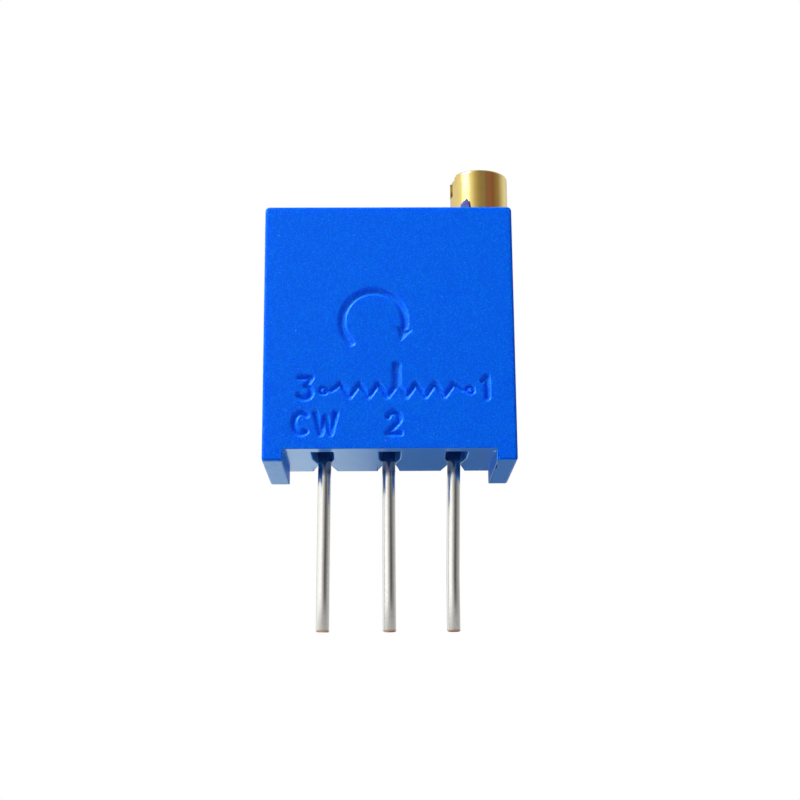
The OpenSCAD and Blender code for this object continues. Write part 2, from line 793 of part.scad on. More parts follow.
// Conductor at the track's end on one side (1 right, -1 left), down to the pad of that side's pin.
module end_conductor(side)
    color("silver")
        film()
            union() {
                pad(side);
                middle_a = track_half_angle + end_angle / 2;
                difference() {
                    union() {
                        translate([wheel_x, wheel_z])
                            mirror([side < 0 ? 1 : 0, 0])
                                ring_part(track_r, track_w, track_half_angle, track_half_angle + end_angle);
                        lead([[wheel_x + side * track_r * sin(middle_a), wheel_z + track_r * cos(middle_a)],
                            [side * pin_pitch, pin_top - lead_w / 4]]);
                    }
                    translate([wheel_x, wheel_z])
                        mirror([side < 0 ? 1 : 0, 0])
                            ring_part(track_r, track_w + eps, track_half_angle - 2 * end_angle,
                                track_half_angle);
                }
            }

module collector_track()
    color("lightgray")
        film()
            union() {
                translate([wheel_x, wheel_z])
                    difference() {
                        circle(collector_r + collector_w / 2);
                        circle(collector_r - collector_w / 2);
                    }
                lead([[wheel_x, wheel_z - collector_r], [0, pin_top - lead_w / 4]]);
                pad(0);
            }

module blade()
    translate([-blade_w / 2, blade_y, pin_round_top])
        cube([blade_w, blade_t, pin_top - pin_round_top]);

// Round pin with a bevelled tip and a flattened upper end that lies on its pad; place -1 is the left one.
module pin(place)
    color("silver")
        translate([place * pin_pitch, 0, 0]) {
            rotate_extrude()
                polygon([[0, -pin_len], [pin_r - pin_bevel, -pin_len], [pin_r, -pin_len + pin_bevel],
                    [pin_r, pin_round_top], [0, pin_round_top]]);
            blade();
        }

// Solder round the sides, front and top of a pin's blade, spread out on the pad.
module solder_joint(place)
    color("lightsteelblue")
        translate([place * pin_pitch, 0, 0])
            difference() {
                half_front = blade_w / 2 + solder_wrap;
                translate([0, 0, solder_low])
                    linear_extrude(solder_top - solder_low)
                        polygon([[-half_front, solder_y], [half_front, solder_y],
                            [solder_w / 2, film_y], [-solder_w / 2, film_y]]);
                blade();
            }

housing();
back_seal();
adjustment_screw();
screw_o_ring();
screw_retaining_pin();
worm_wheel();
wiper_carrier();
wiper_wires();
ceramic_substrate();
resistive_track();
collector_track();
end_conductor(1);  // conductor_1
end_conductor(-1);  // conductor_3
pin(1);  // pin_1
pin(0);  // pin_2
pin(-1);  // pin_3
solder_joint(1);  // solder_joint_1
solder_joint(0);  // solder_joint_2
solder_joint(-1);  // solder_joint_3
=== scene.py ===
"""Looks of a square multi-turn trimmer potentiometer: moulded housing, potting, brass screw, tinned pins.

Every length is in metres, in the frame of the solids: +X to the right of the marked face, +Y to its back,
+Z up to the screw. Places come from the solids' own boxes and joints.
"""

import json
import math

import bpy
import numpy as np
from mathutils import Matrix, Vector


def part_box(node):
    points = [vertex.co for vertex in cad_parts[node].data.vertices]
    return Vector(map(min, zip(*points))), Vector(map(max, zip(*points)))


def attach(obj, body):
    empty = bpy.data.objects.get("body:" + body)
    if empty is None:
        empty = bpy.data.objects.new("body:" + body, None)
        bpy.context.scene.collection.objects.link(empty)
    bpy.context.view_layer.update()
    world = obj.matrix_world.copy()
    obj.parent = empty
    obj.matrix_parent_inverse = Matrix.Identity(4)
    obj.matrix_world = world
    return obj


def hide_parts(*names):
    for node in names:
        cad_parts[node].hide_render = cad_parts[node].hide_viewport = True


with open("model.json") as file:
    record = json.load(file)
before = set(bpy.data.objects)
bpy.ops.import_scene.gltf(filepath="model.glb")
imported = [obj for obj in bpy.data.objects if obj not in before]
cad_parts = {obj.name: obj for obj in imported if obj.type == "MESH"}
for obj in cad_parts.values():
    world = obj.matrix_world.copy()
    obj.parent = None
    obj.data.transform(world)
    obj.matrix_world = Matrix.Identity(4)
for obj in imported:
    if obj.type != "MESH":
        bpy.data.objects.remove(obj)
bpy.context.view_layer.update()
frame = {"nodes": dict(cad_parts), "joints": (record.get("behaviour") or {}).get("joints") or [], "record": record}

bl_info = {
    "name": "Trimmer potentiometer",
    "version": (1, 0, 0),
    "blender": (4, 5, 0),
    "location": "3D View > Sidebar > Trimmer",
    "description": "Dresses the solids of a trimmer potentiometer with finished surfaces and sets its stage",
    "category": "Object",
}

MM = 0.001
# Places nearer than this, in metres, count as the same.
TOUCH = 1e-7
JOINT_AT = {joint["name"]: np.array(joint["pos_m"]) for joint in frame["joints"]}


# ------------------------------------------------------------------------------------------------
# Small tools


def srgb(code):
    """Linear RGB of an sRGB colour written as #RRGGBB."""
    levels = np.array([int(code[i : i + 2], 16) for i in (1, 3, 5)]) / 255
    return tuple(np.where(levels <= 0.04045, levels / 12.92, ((levels + 0.055) / 1.055) ** 2.4))


def size(name, default, description, least=0):
    """A length property: its default and its least value are given in millimetres."""
    return bpy.props.FloatProperty(name=name, description=description, default=default * MM,
                                   min=least * MM, precision=6, unit="LENGTH")


def in_degrees(name, default, description):
    """An angle property: its default is given in degrees."""
    return bpy.props.FloatProperty(name=name, description=description, default=math.radians(default),
                                   subtype="ANGLE")


def colour(name, default, description):
    """A colour property: its default is given as #RRGGBB."""
    return bpy.props.FloatVectorProperty(name=name, description=description, default=srgb(default), min=0,
                                         max=1, subtype="COLOR")


def lean(name, offsets):
    """How far a pin stands aside at its tip, at its bend and at the floor, given in millimetres."""
    return bpy.props.FloatVectorProperty(
        name=name, description="Offset to the right at the tip, at the bend and at the floor",
        default=tuple(offset * MM for offset in offsets), size=3, precision=6, unit="LENGTH"
    )


def corners(node):
    """Lowest and highest corner of a solid, as arrays."""
    low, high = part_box(node)
    return np.array(low), np.array(high)


def add_node(tree, kind, values=None, links=None, **settings):
    """Adds a shader node with its settings, its inputs' values and what feeds its inputs.

    kind is its type without the prefix ShaderNode. A colour may be given without its alpha, and a node in
    place of an output stands for its first live one.
    """
    node = tree.nodes.new("ShaderNode" + kind)
    for key, value in settings.items():
        setattr(node, key, value)
    for key, value in (values or {}).items():
        socket = node.inputs[key]
        socket.default_value = (*value, 1) if socket.type == "RGBA" and len(value) == 3 else value
    for key, source in (links or {}).items():
        if isinstance(source, bpy.types.Node):
            source = next(output for output in source.outputs if output.enabled)
        tree.links.new(source, node.inputs[key])
    return node


def rising_ramp(tree, factor, stops):
    """Turns a factor into a colour by stops, each a place from 0 to 1 and an RGB colour."""
    ramp = add_node(tree, "ValToRGB", links={"Fac": factor})
    elements = ramp.color_ramp.elements
    while len(elements) < len(stops):
        elements.new(1)
    for element, (place, tone) in zip(elements, stops):
        element.position = place
        element.color = (*tone, 1)
    return ramp


def start_material(name):
    """A material with an empty tree; returns it with its tree and object coordinates."""
    material = bpy.data.materials.new(name)
    material.use_nodes = True
    tree = material.node_tree
    tree.nodes.clear()
    return material, tree, add_node(tree, "TexCoord").outputs["Object"]


def end_material(material, links, values=None):
    """Gives a material its shader, with what feeds it and its plain values, and returns the material."""
    tree = material.node_tree
    shader = add_node(tree, "BsdfPrincipled", values, links)
    add_node(tree, "OutputMaterial", links={"Surface": shader})
    return material


def make_piece(name, points, faces, materials, face_material=None, smooth_angle=math.radians(32)):
    """A mesh object from points and faces; edges sharper than the angle stay sharp."""
    mesh = bpy.data.meshes.new(name)
    mesh.from_pydata(np.asarray(points).tolist(), [], faces)
    for material in materials:
        mesh.materials.append(material)
    if face_material is not None:
        mesh.polygons.foreach_set("material_index", np.asarray(face_material, np.int32))
    mesh.polygons.foreach_set("use_smooth", np.ones(len(mesh.polygons), bool))
    mesh.set_sharp_from_angle(angle=smooth_angle)
    mesh.validate()
    piece = bpy.data.objects.new(name, mesh)
    bpy.context.scene.collection.objects.link(piece)
    return piece


def seat(piece, body, slot, *nodes):
    """Lets a piece ride on its body and stand for its solids, which it hides; slot is not used."""
    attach(piece, body)
    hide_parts(*nodes)


def join_shells(*shells):
    """Points and faces of several closed shells as one list, each shell's faces moved to its points."""
    points, faces, count = [], [], 0
    for shell_points, shell_faces in shells:
        points.append(shell_points)
        faces += [[index + count for index in face] for face in shell_faces]
        count += len(shell_points)
    return np.vstack(points), faces


# ------------------------------------------------------------------------------------------------
# Surfaces


def grid_quads(rows, columns, wrap=False):
    """Quads of a grid whose point (row, column) has the number row * columns + column."""
    numbers = np.arange(rows * columns).reshape(rows, columns)
    if wrap:
        numbers = np.hstack([numbers, numbers[:, :1]])
    return np.stack(
        [numbers[:-1, :-1], numbers[:-1, 1:], numbers[1:, 1:], numbers[1:, :-1]], axis=-1
    ).reshape(-1, 4)


def cell_skin(lines, filled):
    """Skin of the filled cells between uneven grid lines: a quad wherever a filled cell meets an empty one.

    lines holds three rising arrays, and filled one truth value a cell.
    """
    counts = [len(line) for line in lines]
    padded = np.pad(filled, 1).astype(np.int8)
    quads = []
    for axis in range(3):
        inside = [slice(1, -1)] * 3
        inside[axis] = slice(None)
        change = np.diff(padded, axis=axis)[tuple(inside)]
        at = np.argwhere(change)
        step_a, step_b = np.eye(3, dtype=int)[[(axis + 1) % 3, (axis + 2) % 3]]
        ring = np.stack([at, at + step_a, at + step_a + step_b, at + step_b], axis=1)
        starts = change[tuple(at.T)] > 0
        ring[starts] = ring[starts][:, ::-1]
        quads.append(np.ravel_multi_index(tuple(np.moveaxis(ring, 2, 0)), counts))
    used, quads = np.unique(np.concatenate(quads), return_inverse=True)
    where = np.unravel_index(used, counts)
    return np.column_stack([line[i] for line, i in zip(lines, where)]), quads.reshape(-1, 4)


def cells_within(lines, low, high):
    """Truth array of the cells whose middle lies between two corners."""
    middles = [(line[1:] + line[:-1]) / 2 for line in lines]
    inside = [(m > a) & (m < b) for m, a, b in zip(middles, low, high)]
    return inside[0][:, None, None] & inside[1][None, :, None] & inside[2][None, None, :]


def lines_through(*values):
    """Rising grid lines through all the values, with no two nearer than a micrometre."""
    rising = np.unique(np.round(np.concatenate([np.atleast_1d(v) for v in values]), 9))
    return rising[np.append(True, np.diff(rising) > 1e-6)]


def square_to_disc(flat, centre, radius):
    """Moves the points inside a square onto the disc in it, so that each inner square becomes a circle.

    A point is scaled by its larger distance along an axis over its true distance from the centre.
    """
    offset = flat - centre
    larger = np.abs(offset).max(axis=1)
    true = np.maximum(np.linalg.norm(offset, axis=1), 1e-12)
    scale = np.where(larger <= radius * 1.0001, larger / true, 1)
    return centre + offset * scale[:, None]


def turned(profile, steps, centre):
    """Surface of revolution: each (radius, height) of the profile becomes a ring round a vertical axis.

    A profile runs from the axis at the top to the axis at the bottom, so the surface is closed.
    """
    profile = np.asarray(profile)
    angle = np.arange(steps) * 2 * math.pi / steps
    rings = profile[1:-1]
    points = np.empty((len(rings), steps, 3))
    points[..., 0] = centre[0] + rings[:, :1] * np.cos(angle)
    points[..., 1] = centre[1] + rings[:, :1] * np.sin(angle)
    points[..., 2] = rings[:, 1:]
    poles = [[centre[0], centre[1], profile[0, 1]], [centre[0], centre[1], profile[-1, 1]]]
    points = np.vstack([points.reshape(-1, 3), poles])
    quads = grid_quads(len(rings), steps, wrap=True)[:, ::-1]
    ring = np.arange(steps)
    after = (ring + 1) % steps
    last = (len(rings) - 1) * steps
    top = np.column_stack([np.full(steps, len(points) - 2), ring, after])
    bottom = np.column_stack([np.full(steps, len(points) - 1), last + after, last + ring])
    return points, quads.tolist() + top.tolist() + bottom.tolist()


# ------------------------------------------------------------------------------------------------
# Marks: lines in (x, z) on the marked face, in metres from the middle of the board plane


def arc_line(centre, radii, start, end, steps=18):
    """Points on an arc of an ellipse, between two angles in degrees."""
    angle = np.radians(np.linspace(start, end, steps + 1))
    return np.column_stack([centre[0] + radii[0] * np.cos(angle), centre[1] + radii[1] * np.sin(angle)])


def number_lines(height):
    """Lines of the three numbers and the two letters, each about its own middle."""
    three = np.vstack([[[-0.27, 0.5], [0.27, 0.5]], arc_line([-0.03, -0.2], [0.3, 0.3], 80, -150)])
    one = np.array([[-0.15, 0.32], [0.06, 0.5], [0.06, -0.5]])
    two = np.vstack([arc_line([0, 0.22], [0.28, 0.28], 165, -35), [[-0.3, -0.5], [0.32, -0.5]]])
    letter_c = arc_line([0, 0], [0.35, 0.5], 48, 312)
    letter_w = np.array([[-0.48, 0.5], [-0.24, -0.5], [0, 0.3], [0.24, -0.5], [0.48, 0.5]])
    return {name: line * height for name, line in
            {"three": three, "one": one, "two": two, "c": letter_c, "w": letter_w}.items()}


def distance_to_line(points, line):
    """Distance from each point to a broken line: the least of the distances to its straight pieces."""
    nearest = np.full(points.shape[:-1], np.inf)
    for start, way in zip(line[:-1], np.diff(line, axis=0)):
        share = np.clip(((points - start) @ way) / (way @ way), 0, 1)
        nearest = np.minimum(nearest, np.linalg.norm(points - start - share[..., None] * way, axis=-1))
    return nearest


def distance_to_polygon(points, polygon):
    """Signed distance to a convex counterclockwise polygon: the largest over its sides, below 0 inside."""
    way = np.roll(polygon, -1, axis=0) - polygon
    outward = np.column_stack([way[:, 1], -way[:, 0]]) / np.linalg.norm(way, axis=1)[:, None]
    return np.max([(points - corner) @ normal for corner, normal in zip(polygon, outward)], axis=0)


def zigzag_line(marks):
    """Rises and falls of the resistor's sign between its two leads, about the row's middle."""
    steps = np.arange(marks.zigzag_count + 1)
    heights = np.where(steps % 2, 1, -1) * marks.zigzag_rise
    heights[[0, -1]] = 0
    teeth = np.column_stack([(steps - len(steps) / 2 + 0.5) * marks.zigzag_step + marks.zigzag_x, heights])
    lead = [marks.zigzag_lead, 0]
    return np.vstack([teeth[0] - lead, teeth, teeth[-1] + lead])


def marks_distance(points, marks):
    """Signed distance from points on the marked face to the nearest mark, below 0 inside a stroke."""
    row = marks.upper_row - marks.zigzag_drop
    zigzag, ring = zigzag_line(marks) + [0, row], marks.zigzag_ring
    places = {"three": (marks.three_x, marks.upper_row), "one": (marks.one_x, marks.upper_row),
              "two": (marks.two_x, marks.lower_row), "c": (marks.c_x, marks.lower_row),
              "w": (marks.w_x, marks.lower_row)}
    numbers = number_lines(marks.number_height)
    strokes = [(line + places[name], marks.stroke) for name, line in numbers.items()]
    # The resistor's sign is drawn finer than the numbers, and its wiper bar starts a little over its line.
    bar = np.array([[marks.bar_x, row + 0.2 * MM], [marks.bar_x, row + marks.bar_top]])
    arrow_at = np.array([marks.arrow_x, marks.arrow_z])
    strokes += [
        (zigzag, marks.stroke * 0.92),
        (arc_line(zigzag[0] - [ring, 0], [ring, ring], 20, 340), marks.stroke * 0.7),
        (arc_line(zigzag[-1] + [ring, 0], [ring, ring], -160, 160), marks.stroke * 0.7),
        (bar, marks.bar_width),
        (arc_line(arrow_at, [marks.arrow_r] * 2, 225, -12, 48), marks.bold),
    ]
    distance = np.min([distance_to_line(points, line) - width / 2 for line, width in strokes], axis=0)
    # The arrow's head sits on the end of its arc and points clockwise; it is a little wider than long.
    tip = math.radians(-15)
    along, across = np.array([math.sin(tip), -math.cos(tip)]), np.array([math.cos(tip), math.sin(tip)])
    root = arrow_at + across * marks.arrow_r - along * 0.1 * marks.arrow_tip
    half = marks.arrow_tip * 0.59
    head = np.array([root - across * half, root + along * marks.arrow_tip, root + across * half])
    return np.minimum(distance, distance_to_polygon(points, head))


# ------------------------------------------------------------------------------------------------
# Settings


class MarkSettings(bpy.types.PropertyGroup):
    """Sunk marks on the marked face"""

    depth: size("Depth", 0.15, "Depth of the marks")
    wall: size("Wall", 0.15, "Width of a mark's sloping wall")
    stroke: size("Stroke", 0.3, "Width of a stroke at the surface")
    bold: size("Bold stroke", 0.36, "Width of the turn arrow's stroke")
    bar_width: size("Wiper bar width", 0.42, "Width of the wiper bar")
    number_height: size("Number height", 0.8, "Height of a number from line to line")
    upper_row: size("Upper row", 2.8, "Height of the upper row's middle over the board")
    lower_row: size("Lower row", 1.44, "Height of the lower row's middle over the board")
    three_x: size("Number 3", -3.17, "Place of the number 3 from the middle", -4)
    one_x: size("Number 1", 3.62, "Place of the number 1 from the middle")
    two_x: size("Number 2", 0.14, "Place of the number 2 from the middle")
    c_x: size("Letter C", -3.32, "Place of the letter C from the middle", -4)
    w_x: size("Letter W", -2.4, "Place of the letter W from the middle", -4)
    zigzag_x: size("Zigzag middle", 0.275, "Place of the zigzag's middle from the face's middle")
    zigzag_drop: size("Zigzag drop", 0.1, "Drop of the zigzag under the upper row's middle")
    zigzag_step: size("Zigzag step", 0.3555, "Length of one rise or fall")
    zigzag_rise: size("Zigzag rise", 0.25, "Height of the points over the zigzag's line")
    zigzag_lead: size("Zigzag lead", 0.137, "Length of the straight line at each end")
    zigzag_ring: size("Zigzag ring", 0.13, "Radius of the rings at the zigzag's ends")
    zigzag_count: bpy.props.IntProperty(name="Zigzag count", description="Number of rises and falls",
                                        default=14, min=2, max=14)
    bar_x: size("Wiper bar", 0.265, "Place of the wiper bar from the middle")
    bar_top: size("Wiper bar top", 0.95, "Height of the wiper bar's top over the zigzag's line")
    arrow_x: size("Arrow middle", -0.6, "Place of the turn arrow from the middle", -4)
    arrow_z: size("Arrow height", 5.4, "Height of the turn arrow's middle over the board")
    arrow_r: size("Arrow radius", 1.2, "Radius of the turn arrow")
    arrow_tip: size("Arrow head", 0.61, "Length of the turn arrow's head")


class HousingSettings(bpy.types.PropertyGroup):
    """Moulded housing"""

    top: size("Top face", 10.03, "Height of the top face over the board")
    edge: size("Edge", 0.1, "Rounding of the outer edges")
    corner: size("Top corners", 0.17, "Rounding of the two top corners")
    foot_width: size("Foot width", 0.765, "Width of each foot")
    foot_back: size("Foot corner", 0.025, "Rounding of the feet's inner back corners")
    foot_low: size("Foot edge", 0.04, "Rounding of the feet's inner lower edges")
    small_edge: size("Small edge", 0.035, "Rounding of the edges between the feet and of the slots")
    floor: size("Floor", 0.455, "Height of the floor's underside over the board")
    floor_slope: size("Floor slope", 0.455, "Slope cut off the floor's back lower edge")
    front_wall: size("Front wall", 0.65, "Wall between the marked face and the wheel's chamber")
    slot_wall: size("Slot wall", 0.61, "Wall in front of the pin slots")
    slot_rise: size("Slot rise", 1.05, "Depth of a slot's blind front pocket over the floor's underside")
    pip_width: size("Pip width", 0.37, "Width of the pip beside the screw")
    pip_height: size("Pip height", 0.37, "Height of the pip beside the screw")
    pip_left: size("Pip place", 0.62, "Distance of the pip to the left of the screw's axis")
    pip_thick: size("Pip thickness", 0.09, "Thickness of the pip")
    relief_step: size("Relief step", 0.028, "Distance between the points of the marked face's relief")
    face: colour("Face", "#005FE2", "Colour of the plastic's matte faces")
    face_pale: colour("Face fleck", "#087AFC", "Paler flecks in the matte faces")
    # The marks' tones are paler and bluer than the face's, though it is the same plastic: painted highlights on
    # their lit walls and painted blue shade in their shaded ones.
    mark: colour("Marks", "#0062F6", "Colour of the walls of the marks")
    mark_pale_painted_light: colour("Mark fleck", "#148CFF", "Paler flecks in the walls of the marks")
    # The polished and satin tones are paler than the face's blue, though it is the same plastic: painted light
    # that makes up for the weak light under and inside the housing.
    skin: colour("Polished skin", "#008CF6", "Colour of the plastic where the tool was polished")
    skin_deep: colour("Polished skin, deep", "#0080EA", "Deeper tone in the polished plastic")
    satin: colour("Satin skin", "#0C84E8", "Colour of the plastic inside and under the feet")
    # Painted glint: a paler blue painted in sparse dots, standing in for the sparkle of glass.
    painted_glint: colour("Glint", "#46A8FF", "Sparse glints of glass in the matte faces")


class ScrewSettings(bpy.types.PropertyGroup):
    """Turned brass screw with its worm"""

    head_bevel: size("Head bevel", 0.09, "Rounding of the head's top edge")
    slot_width: size("Driver slot width", 0.56, "Width of the driver slot")
    slot_depth: size("Driver slot depth", 0.85, "Depth of the driver slot")
    slot_turn: in_degrees("Driver slot turn", 7, "Turn of the slot from the X axis")
    shank: size("Shank", 1.66, "Diameter of the shank in the bore")
    groove: size("Groove", 1.0, "Diameter at the bottom of the grooves")
    seal_depth: size("Seal groove place", 0.45, "Length of the shank over the seal's groove")
    seal_groove: size("Seal groove", 0.36, "Length of the seal's groove")
    land: size("Land", 0.5, "Length of the shank between the grooves")
    catch: size("Retaining groove", 0.38, "Length of the retaining pin's groove")
    tail: size("Shank tail", 0.3, "Length of the shank under the retaining groove")
    core: size("Worm core", 0.92, "Diameter at the bottom of the worm's thread")
    crest: size("Worm crest", 1.66, "Diameter at the top of the worm's thread")
    pitch: size("Worm pitch", 0.71, "Distance from thread to thread")
    thread_top: size("Thread crest", 0.031, "Half width of the thread at its crest")
    thread_foot: size("Thread foot", 0.166, "Half width of the thread at its foot")
    journal: size("Journal", 0.8, "Diameter of the journal")
    journal_length: size("Journal length", 1.4, "Length of the journal")
    turns: bpy.props.FloatProperty(name="Thread turns", description="Turns of thread on the worm", default=5)
    nick_front: size("Nick depth, front", 0.24, "Depth of the nick before the slot's left end")
    nick_back: size("Nick depth, back", 0.12, "Depth of the nick behind the slot's left end")
    nick_half: size("Nick half width", 0.53, "Reach of the nick to each side of the slot's middle")
    brass: colour("Brass", "#F0DB92", "Colour of the brass")
    # A reddish tone, painted in a streak on the head's sides.
    streak_colour: colour("Tarnish", "#E39A62", "Colour of the brass where it was handled")


class PinSettings(bpy.types.PropertyGroup):
    """Tinned copper pins"""

    diameter: size("Diameter", 0.51, "Diameter of a pin")
    round_top: size("Round part", 0.485, "Height over the board at which the round part ends")
    blade_width: size("Blade width", 0.5, "Width of the flattened upper end")
    bevel: size("Bevel", 0.05, "Rounding of the cut end")
    bend: size("Bend", 4.0, "Depth below the board plane at which a pin's lean changes")
    lean_1: lean("Lean of pin 1", (-0.145, -0.14, -0.045))
    lean_2: lean("Lean of pin 2", (-0.03, -0.03, -0.03))
    lean_3: lean("Lean of pin 3", (-0.016, -0.006, 0.034))
    tin: colour("Tin", "#F0EFEB", "Colour of the tin plating")
    copper: colour("Copper", "#C98A5E", "Colour of the bare copper at the cut ends")


class SealSettings(bpy.types.PropertyGroup):
    """Epoxy potting"""

    creep: size("Creep", 0.07, "Rise of the epoxy up the pocket's walls")
    reach: size("Creep reach", 0.3, "Distance from the walls over which the rise fades")
    ripple: size("Ripple", 0.012, "Height of the slow ripples on the epoxy's face")
    epoxy: colour("Epoxy", "#0E50BC", "Colour of the epoxy")


class StageSettings(bpy.types.PropertyGroup):
    """Camera, floor and light"""

    azimuth: in_degrees("Azimuth", -0.832, "Turn of the camera round the object")
    elevation: in_degrees("Elevation", -13.85, "Height angle of the camera")
    roll: in_degrees("Roll", -0.422, "Roll of the camera")
    distance: size("Distance", 56.992, "Distance from the camera to the point that it looks at")
    aim_x: size("Aim", 0.426, "Place of the point that the camera looks at, right of the middle pin")
    aim_z: size("Aim height", 2.905, "Height of the point that the camera looks at")
    lens: bpy.props.FloatProperty(name="Lens", description="Focal length in mm on a 36 mm sensor",
                                  default=65.449)
    floor_drop: size("Floor drop", 60, "Distance of the floor below the board plane")
    floor_radius: size("Floor radius", 100, "Radius of the round floor")
    ambient: bpy.props.FloatProperty(name="Ambient", description="Strength of the even light", default=0.34)


# ------------------------------------------------------------------------------------------------
# Materials


def moulded_plastic(name, tones, rough_range, sheen):
    """Blue glass-filled thermoset from a spark-eroded tool: a fine matte grain with pale flecks and painted
    glints.

    Blue light spreads a little under its skin, so that its shadows stay blue.
    """
    material, tree, place = start_material(name)
    # The tool's craters are about 0.08 mm across, the flecks of filler about 0.06 mm.
    grain = add_node(tree, "TexNoise", {"Scale": 1 / (0.09 * MM), "Detail": 3.0, "Roughness": 0.6},
                     {"Vector": place})
    fleck = add_node(tree, "TexNoise", {"Scale": 1 / (0.065 * MM), "Detail": 2.0, "Roughness": 0.7},
                     {"Vector": place})
    # Painted glints: sparse dots of paler blue stand in for the sparkle of glass. They are about 0.05 mm wide and
    # lie a millimetre apart.
    glass = add_node(tree, "TexNoise", {"Scale": 1 / (0.1 * MM), "Detail": 1.0}, {"Vector": place})
    fleck_share = add_node(tree, "MapRange", {"From Min": 0.46, "From Max": 0.68}, {"Value": fleck})
    painted_glint_share = add_node(tree, "MapRange", {"From Min": 0.74, "From Max": 0.8}, {"Value": glass})
    flecked = add_node(tree, "Mix", {"A": tones[0], "B": tones[1]}, {"Factor": fleck_share},
                       data_type="RGBA")
    tone = add_node(tree, "Mix", {"B": tones[2]}, {"Factor": painted_glint_share, "A": flecked}, data_type="RGBA")
    rough = add_node(tree, "MapRange", {"To Min": rough_range[0], "To Max": rough_range[1]},
                     {"Value": grain})
    bump = add_node(tree, "Bump", {"Strength": 0.8, "Distance": 0.014 * MM}, {"Height": grain})
    return end_material(material, {"Base Color": tone, "Roughness": rough, "Normal": bump},
                        {"Specular IOR Level": sheen, "Specular Tint": (0.25, 0.8, 1), "Subsurface Weight": 1,
                         "Subsurface Radius": (0.05, 0.12, 1.0), "Subsurface Scale": 0.26 * MM})


def satin_plastic(housing, name, rough_range):
    """The same thermoset inside and under the feet, where the tool was ground: satin, with dark scuffs, and
    painted paler to make up for the weak light there.
    """
    material, tree, place = start_material(name)
    flow = add_node(tree, "TexNoise", {"Scale": 1 / (0.3 * MM), "Detail": 4.0}, {"Vector": place})
    # Scuffs are about 0.1 mm long.
    scuff = add_node(tree, "TexNoise", {"Scale": 1 / (0.16 * MM), "Detail": 2.0, "Roughness": 0.7},
                     {"Vector": place})
    share = add_node(tree, "MapRange", {"From Min": 0.62, "From Max": 0.7, "To Max": 0.8},
                     {"Value": scuff})
    tone = add_node(tree, "Mix", {"A": housing.satin, "B": srgb("#082C66")}, {"Factor": share},
                    data_type="RGBA")
    rough = add_node(tree, "MapRange", {"To Min": rough_range[0], "To Max": rough_range[1]},
                     {"Value": flow})
    bump = add_node(tree, "Bump", {"Strength": 0.5, "Distance": 0.01 * MM}, {"Height": flow})
    return end_material(material, {"Base Color": tone, "Roughness": rough, "Normal": bump}, {"IOR": 1.52})


def turned_brass(screw, axis, top):
    """Free-cutting brass from a lathe: fine rings on the flat end, bright sides, and a reddish streak on the
    sides.
    """
    material, tree, place = start_material("turned_brass")
    centred = add_node(tree, "Mapping", {"Location": (-axis[0], -axis[1], 0)}, {"Vector": place})
    # Tool marks are about 0.05 mm apart.
    rings = add_node(tree, "TexWave",
                     {"Scale": 1 / (0.05 * MM * 6.283), "Distortion": 0.6, "Detail": 1.0},
                     {"Vector": centred}, wave_type="RINGS", rings_direction="Z")
    stain = add_node(tree, "TexNoise", {"Scale": 1 / (0.35 * MM), "Detail": 3.0}, {"Vector": place})
    spot = add_node(tree, "SeparateXYZ", links={"Vector": centred})
    compass = add_node(tree, "Math", links={0: spot.outputs["Y"], 1: spot.outputs["X"]},
                       operation="ARCTAN2")
    turn = add_node(tree, "MapRange", {"From Min": -math.pi, "From Max": math.pi}, {"Value": compass})
    # Share of the reddish streak round the head, from the -X side through -Y.
    handled = rising_ramp(tree, turn, [(where, (share,) * 3) for where, share in (
        (0.265, 0), (0.283, 1), (0.322, 1), (0.34, 0.3), (0.39, 0), (0.7, 0), (0.74, 0.35), (0.79, 0))])
    side = add_node(tree, "MapRange", {"From Min": top - 0.04 * MM, "From Max": top - 0.1 * MM},
                    {"Value": spot.outputs["Z"]})
    streak = add_node(tree, "Math", links={0: handled, 1: side}, operation="MULTIPLY")
    clean = add_node(tree, "Mix", {"A": screw.brass, "B": srgb("#DFC478")}, {"Factor": stain},
                     data_type="RGBA")
    tone = add_node(tree, "Mix", {"B": screw.streak_colour}, {"Factor": streak, "A": clean}, data_type="RGBA")
    rough = add_node(tree, "MapRange", {"To Min": 0.1, "To Max": 0.2}, {"Value": stain})
    bump = add_node(tree, "Bump", {"Strength": 0.3, "Distance": 0.002 * MM},
                    {"Height": rings.outputs["Fac"]})
    return end_material(material, {"Base Color": tone, "Roughness": rough, "Normal": bump}, {"Metallic": 1})


